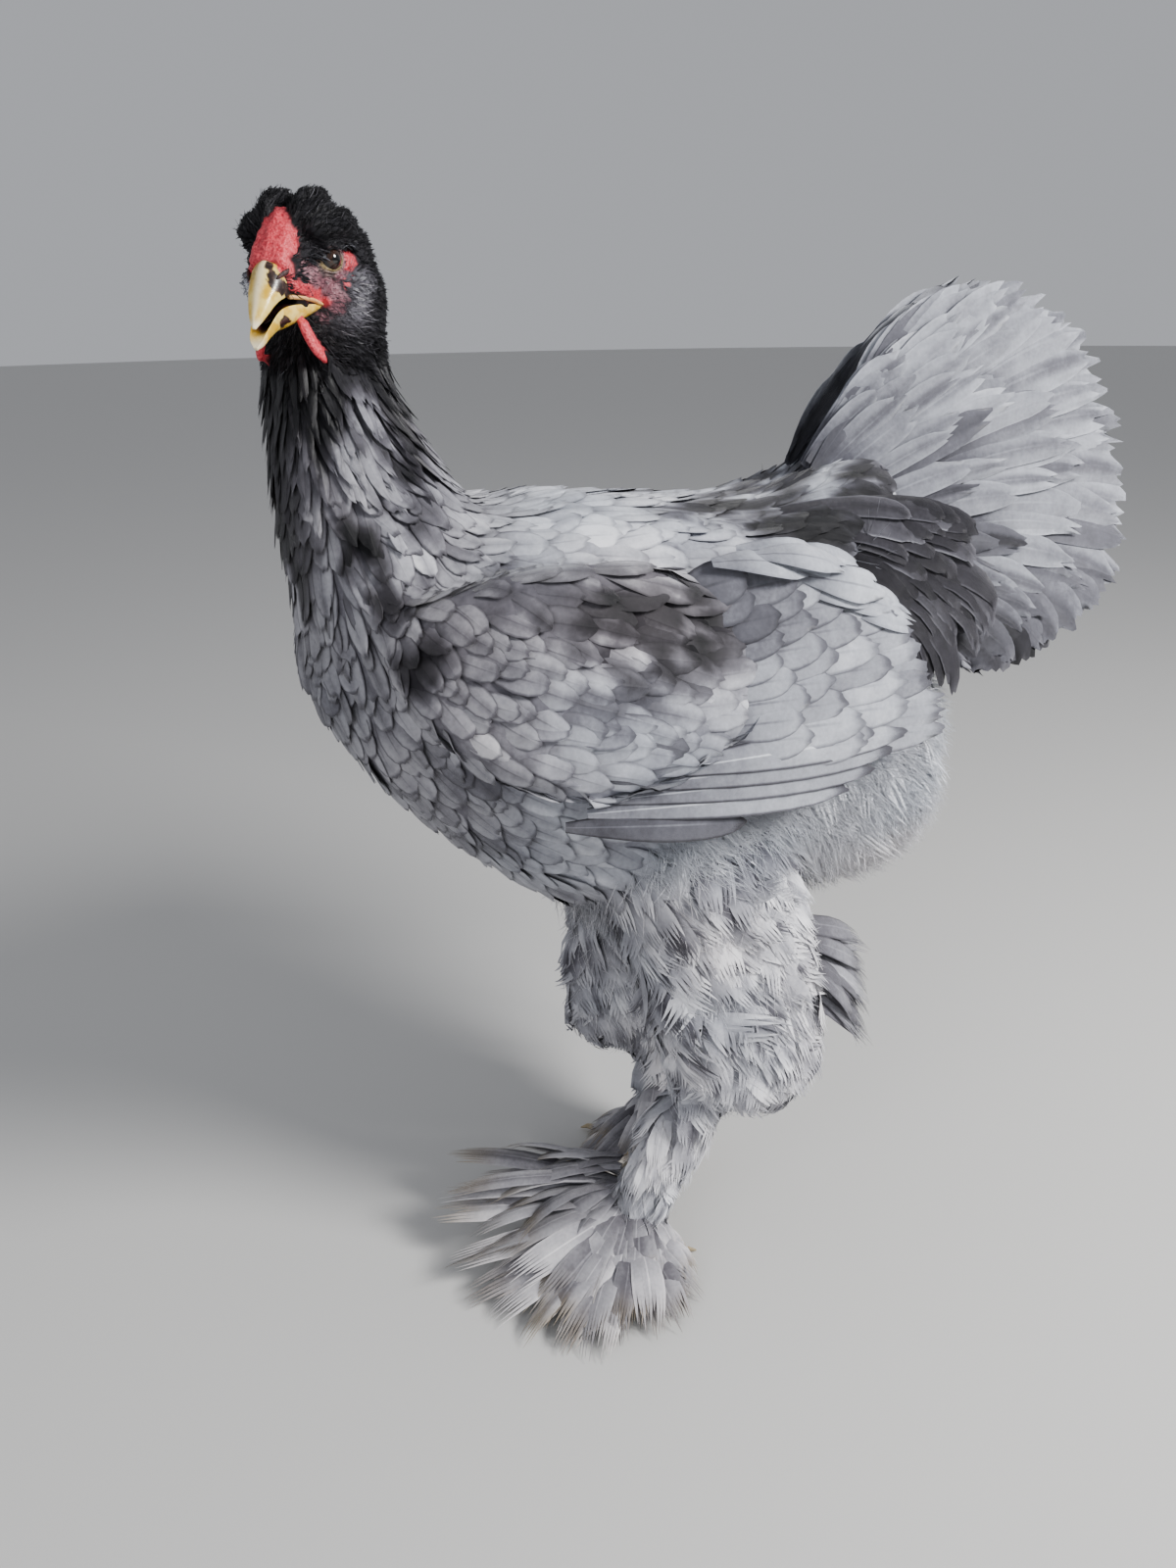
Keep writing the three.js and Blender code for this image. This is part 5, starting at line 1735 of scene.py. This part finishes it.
def hair_gap(plan):
    """Wide apart round the eye, and close on the lore and low on the cheek."""
    place = in_head(plan)
    lore = blob(place, (15, -24, 4), (8, 8, 8))
    low = fade(-place[:, 2], 8, 16)
    return 2.1 - 1.0 * np.maximum(lore, low)


cheek = face_parts & face_near & face_pink
coat("cheek_hairs", cheek, hair_gap, sized(4.2, 0.13, 1.0, 0.35, 0.2, steady=True), FACE_PAINT,
     "black_plumage", 131, {**HAIR_LOOK, "lift": 0.20}, WISP, sink=0.2, steps=3, stray=22, **ON_HEAD)


def down_size(plan, draw):
    back = crown(plan)
    grow = draw.normal(1, 0.2, len(plan))
    return (5.5 + 6 * back) * grow, 0.2 + 0.12 * back, 0.9 + 2.0 * back + draw.normal(0, 0.4, len(plan))


coat("face_down", covered, even(1.35), down_size, FACE_PAINT, "black_plumage",
     161, {**HAIR_LOOK, "lift": 0.02, "mottle": 0.05}, WISP, sink=0.2, steps=3, stray=18, **ON_HEAD)
coat("crown_strands", covered, even(3.4), sized(9, 0.16, 3.2, 0.7, 0.25, steady=True), FACE_PAINT,
     "black_plumage", 141, {**HAIR_LOOK, "lift": 0.30, "mottle": 0.14}, WISP,
     sink=0.2, steps=4, stray=26, **ON_HEAD)
lobes = of_parts("ear_lobe_left", "ear_lobe_right") & ~face_red
coat("ear_tufts", lobes, even(1.15), sized(9, 0.5, 2.2, 0.6, 0.18), FACE_PAINT, "slate_plumage",
     151, {**FACE_LOOK, "mottle": 0.07}, WISP, sink=0.3, steps=3, stray=16, **ON_HEAD)

# %% [markdown]
# The brow is a band of small stiff feathers in four layers, from the lore over the eye to the ear.

# %% Brows
BROW_LAYERS = 4
BROW = ((15.8, -20, 6.4), (19.2, -12, 8.8), (22.2, -3, 10.8), (24.4, 7, 10.6), (25.2, 14, 8.0))


def brow_row(side, layer):
    draw = np.random.default_rng(430 + 10 * layer + side)
    count = 80
    roots = along_curve(BROW, (np.arange(count) + draw.random(count)) / count)
    roots = roots + draw.normal(0, 0.5, (count, 3))
    roots = roots + np.array((-1.6, 1.0, 1.6)) * layer
    t = np.linspace(0, 1, count)[:, None]
    ahead = np.array((0.20, 0.75, -0.42)) * (1 - t) + np.array((0.42, 0.72, -0.5)) * t
    ahead = unit(ahead + draw.normal(0, 0.14, (count, 3)))
    tips = roots + ahead * draw.uniform(5.5, 8.5, (count, 1))
    faces = unit(np.array((0.85, -0.2, 0.5)) + draw.normal(0, 0.15, (count, 3)))
    roots, tips, faces = (places * np.array((side, 1, 1)) for places in (roots, tips, faces))
    lines, ups = bowed(from_head(roots), from_head(tips), faces @ HEAD.T, 0.8, stations=5)
    return lines, ups, 0.42 * draw.normal(1, 0.2, count), 0.03 + draw.random(count) ** 4 * 0.34


brows = [brow_row(side, layer) for side in SIDES for layer in range(BROW_LAYERS)]
one_piece("brow_feathers", brows, FACE_PAINT, "black_plumage", pattern=SMALL, warm=0.0, lace=0.1, **FACE_LOOK)

# %% [markdown]
# The corner of the mouth. A soft pale rim runs on from the cutting edge of the upper bill to the gape.

# %% Rim of the gape
GAPE_RIM = ((8.6, -30.5, -8.4), (11.4, -24.5, -9.6), (14.2, -18, -11.8), (16.4, -12, -15.0),
            (16.2, -7.5, -17.2))


def gape_rim(side):
    def place(turn, t):
        middle = along_curve(GAPE_RIM, t)
        thick = (1.9 - 0.9 * t) * np.sin(math.pi * np.clip(0.15 + 0.85 * t, 0, 0.985)) ** 0.5
        ring = columns(np.cos(FULL_TURN * turn), 0 * turn, 0.8 * np.sin(FULL_TURN * turn))
        return (middle + ring * thick[:, None]) * np.array((side, 1, 1))

    return as_mesh(wrapped(12, 30, place), "rim")


RIM_PAINT = flat_paint("gape_rim", (0.70, 0.36, 0.16), (0.82, 0.55, 0.26), 300, 0.42, 0.0003, 0.1)
for side, end in zip(SIDES, ("left", "right")):
    add_piece("gape_rim_" + end, gape_rim(side), RIM_PAINT, "red_flesh")

# %% [markdown]
# The eyes. Each is a ball with the clear bulge of the cornea in front. The angle off the gaze is kept on
# its points, so the shader knows pupil from iris.

# %% Eyes
CORNEA = 0.9
CORNEA_SPREAD = math.radians(33)
PUPIL = 17.0
IRIS = 36.0


def eyeball(side):
    def place(turn, t):
        angle = math.pi * t**1.4
        return round_gaze(turn, angle, EYE_RADIUS + CORNEA * np.exp(-((angle / CORNEA_SPREAD) ** 2)), side)

    def angle_of(turn, t, points):
        return 180 * t**1.4

    return as_mesh(wrapped(48, 32, place, angle=angle_of), "eye")


def eye_paint():
    tree = Tree("eye")
    angle = tree.attribute("angle")
    grain = tree.noise(900.0, 2.0)
    # The iris is near black: partly the eye's own dark brown and partly painted shade from the brow above.
    iris = tree.mix(grain.step(0.3, 0.7), (0.018, 0.007, 0.004), (0.050, 0.020, 0.009))
    colour = tree.mix(angle.step(PUPIL - 1, PUPIL + 1), (0.002, 0.002, 0.002), iris)
    colour = tree.mix(angle.step(IRIS - 4, IRIS + 2), colour, (0.010, 0.007, 0.006))
    return tree.finish(Base_Color=colour, Roughness=0.12, Coat_Weight=1.0, Coat_Roughness=0.02)


EYE_PAINT = eye_paint()
for side, name in zip(SIDES, ("eye_left", "eye_right")):
    add_piece(name + "_ball", eyeball(side), EYE_PAINT, "eye", name)

# %% [markdown]
# The bill. Each half is a ring of points led along a curve: over the ridge, down the side to the cutting
# edge, and back inside as a hollow. Dark patches, pale tips, a painted highlight along the ridge and the
# hollow's painted shade are kept on the points for the shader.

# %% Bill
# y, z, half width, height over the path and depth under it, at even steps from the base to the tip
UPPER_BILL = ((-22, 2.5, 10.5, 8, 11), (-31, 0.8, 10.2, 8, 9), (-38.5, -3, 8.8, 5.2, 6.5),
              (-43.7, -7.2, 6.9, 3.8, 4.2), (-48.6, -11.8, 5, 2.4, 2.8), (-52.2, -15.6, 3, 1.6, 1.8),
              (-54.6, -18.8, 0.8, 0.8, 0.8))
LOWER_BILL = ((-10, -16.8, 16.6, 2, 2.6), (-20, -17.8, 13, 4.4, 4.6), (-30, -18.2, 10.2, 6, 5.4),
              (-38, -18.8, 7.8, 5.8, 5), (-46.5, -22.4, 5.4, 3.8, 3.6), (-52.5, -26, 3.8, 2.4, 2.4),
              (-56, -28.2, 0.9, 0.9, 0.9))
OUTSIDE = 0.62
HOLLOW = 0.6
DARK_UPPER = (((3.2, -35, 6), (1.8, 3.5, 3.5)), ((4.6, -37.5, 3), (2.2, 3.5, 3.5)),
              ((6.4, -38, 0), (2.8, 4, 4)), ((8.2, -36, -3), (3, 5, 4)), ((10, -32.5, -5), (2.4, 4.5, 4)))
DARK_LOWER = (((8, -37, -19.5), (4, 4.2, 3)), ((10, -33, -20), (2.5, 2, 1.5)))


def bill_half(stations, upper, spots, seed):
    sign = 1 if upper else -1

    def place(turn, t):
        y, z, half, rise, depth = along_curve(stations, t).T
        behind, ahead = (along_curve(stations, np.clip(t + step, 0, 1))[:, :2] for step in (-0.02, 0.02))
        heading = unit(ahead - behind)
        inward = 1 - np.abs(2 * turn - 1)
        side = np.sign(0.5 - turn)
        a = np.clip(inward / OUTSIDE, 0, 1)
        b = np.clip((inward - OUTSIDE) / (1 - OUTSIDE), 0, 1)
        ridge, rim = (rise, depth) if upper else (depth, rise)
        width = half * np.sin(a * 1.85) ** 0.85 * (1 - b)
        height = ridge - (ridge + rim) * a**1.7 + 0.05 * ridge * np.exp(-((a / 0.12) ** 2))
        hollow = HOLLOW * (1 - fade(t, 0.55, 0.85))
        height = height + hollow * (ridge + rim) * np.sin(b * math.pi / 2)
        up = np.stack([heading[:, 1], -heading[:, 0]], axis=1) * (sign * height)[:, None]
        return np.stack([side * width, y + up[:, 0], z + up[:, 1]], axis=1)

    def spot(turn, t, points):
        near = np.max([blob(points, centre, radii) for centre, radii in spots], axis=0)
        near = near + 0.16 * ripple(points, 1.6, seed) + 0.08 * ripple(points, 4.0, seed + 1)
        return fade(near, 0.36, 0.44) * np.where(points[:, 0] < 0, 0.35, 1)

    def cere(turn, t, points):
        near = np.maximum(blob(points, (9.5, -30, 5.5), (4, 5, 5.5)), blob(points, (12, -28, -1), (4, 4, 4)))
        return fade(near + 0.06 * ripple(points, 2.0, seed + 2), 0.34, 0.42)

    # Whitish tips, which the bill has, and a pale line along the ridge, which is a painted highlight.
    def pale(turn, t, points):
        a = (1 - np.abs(2 * turn - 1)) / OUTSIDE
        return np.maximum(fade(t, 0.74, 0.95), 0.8 * np.exp(-((a / 0.13) ** 2)))

    def inside(turn, t, points):
        return fade(1 - np.abs(2 * turn - 1), OUTSIDE + 0.02, OUTSIDE + 0.08) * (1 - fade(t, 0.6, 0.85))

    return as_mesh(wrapped(96, 72, place, spot=spot, cere=cere, pale=pale, inside=inside), "bill")


def bill_paint():
    tree = Tree("bill")
    grain = tree.noise(160.0, 3.0)
    streaks = tree.noise(420.0, 2.0)
    colour = tree.mix(grain.step(0.35, 0.65), (0.60, 0.38, 0.05), (0.80, 0.62, 0.22))
    # This pale colour gives the whitish tips and the painted highlight along the ridge.
    colour = tree.mix(tree.attribute("pale"), colour, (0.86, 0.76, 0.54))
    colour = tree.mix(streaks.step(0.62, 0.8) * 0.35, colour, (0.34, 0.24, 0.12))
    horn = tree.mix(streaks.step(0.4, 0.7), (0.030, 0.018, 0.016), (0.10, 0.06, 0.05))
    colour = tree.mix(tree.attribute("spot"), colour, horn)
    # The bill's inside is painted a near black red: painted shade in the hollow of the open mouth.
    colour = tree.mix(tree.attribute("inside"), colour, (0.05, 0.014, 0.014))
    cere = tree.attribute("cere")
    pebbles = tree.noise(750.0, 2.0)
    colour = tree.mix(cere, colour, flesh_colour(tree, pebbles))
    tree.bump(grain + streaks * 0.4 + pebbles * cere * 3.0, 0.0003, 0.5)
    return tree.finish(Base_Color=colour, Roughness=cere * 0.15 + 0.33, Coat_Weight=0.2 - cere * 0.2)


TONGUE = ((-4, -15.5, 9, 5, 5), (-13, -14.5, 10, 5.2, 4), (-24, -13.8, 8, 3.6, 4),
          (-34, -15.2, 5.5, 1.6, 2.6), (-43, -18.4, 1.0, 0.8, 0.8))


def tongue():
    def place(turn, t):
        y, z, half, rise, depth = along_curve(TONGUE, t).T
        up, across = np.cos(FULL_TURN * turn), np.sin(FULL_TURN * turn)
        height = np.where(up > 0, rise, depth) * up - 0.35 * rise * np.exp(-((across / 0.2) ** 2)) * (up > 0)
        return columns(half * across, y, z + height)

    return as_mesh(wrapped(32, 32, place), "tongue")


NOSTRIL = ((10.4, -27.6, 4.4), (10.4, -31, 3.4), (9.0, -34.5, 2.6), (7.4, -37.4, 1.2))


def nostril_flap(side):
    """The curled flap of horn over one nostril."""
    def place(turn, t):
        middle = along_curve(NOSTRIL, t)
        swell = np.sin(math.pi * np.clip(t, 0.02, 0.98)) ** 0.6
        up, out = np.sin(FULL_TURN * turn), np.cos(FULL_TURN * turn)
        shape = columns(0.9 * out + 0.5 * up, -0.5 * out, 1.5 * up - 0.5 * out**2)
        return (middle + shape * swell[:, None]) * np.array((side, 1, 1))

    return as_mesh(wrapped(16, 24, place), "flap")


BILL_PAINT = bill_paint()
# The tongue is painted near black: painted shade inside the open mouth.
MOUTH_SHADE_PAINT = flat_paint("mouth", (0.012, 0.004, 0.004), (0.03, 0.010, 0.010), 300, 0.4, 0.0003)
FLAP_PAINT = flat_paint("nostril_horn", (0.020, 0.010, 0.010), (0.10, 0.045, 0.045), 500, 0.5, 0.0003)
add_piece("tongue", tongue(), MOUTH_SHADE_PAINT, "red_flesh")
for side, name in zip(SIDES, ("nostril_flap_left", "nostril_flap_right")):
    add_piece(name, nostril_flap(side), FLAP_PAINT, "bill_horn")
add_piece("bill_top", bill_half(UPPER_BILL, True, DARK_UPPER, 81), BILL_PAINT, "bill_horn", "bill_upper")
add_piece("bill_bottom", bill_half(LOWER_BILL, False, DARK_LOWER, 82), BILL_PAINT, "bill_horn", "bill_lower")

# %% [markdown]
# The claws are shown as the CAD made them. They only get a material.

# %% Claws
CLAW_PAINT = flat_paint("claw_horn", (0.30, 0.24, 0.16), (0.45, 0.38, 0.26), 90, 0.45, 0.0001)
for name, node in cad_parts.items():
    if name.startswith("claw_"):
        node.data.materials.clear()
        node.data.materials.append(CLAW_PAINT)

# %% [markdown]
# Last, the triangles are counted and the sizes of the CAD and of the visual model are printed.

# %% Size and finish
bpy.context.view_layer.update()
pieces = [o for o in bpy.context.scene.objects if o.type == "MESH" and not o.hide_render]
print("all pieces", sum(len(p.vertices) - 2 for o in pieces for p in o.data.polygons), "triangles")
SIZE = {"cad": [list(corner) for corner in CAD_BOX], "visual": [list(corner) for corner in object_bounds()]}
print("size", SIZE, round(time.perf_counter() - STARTED, 1), "s")
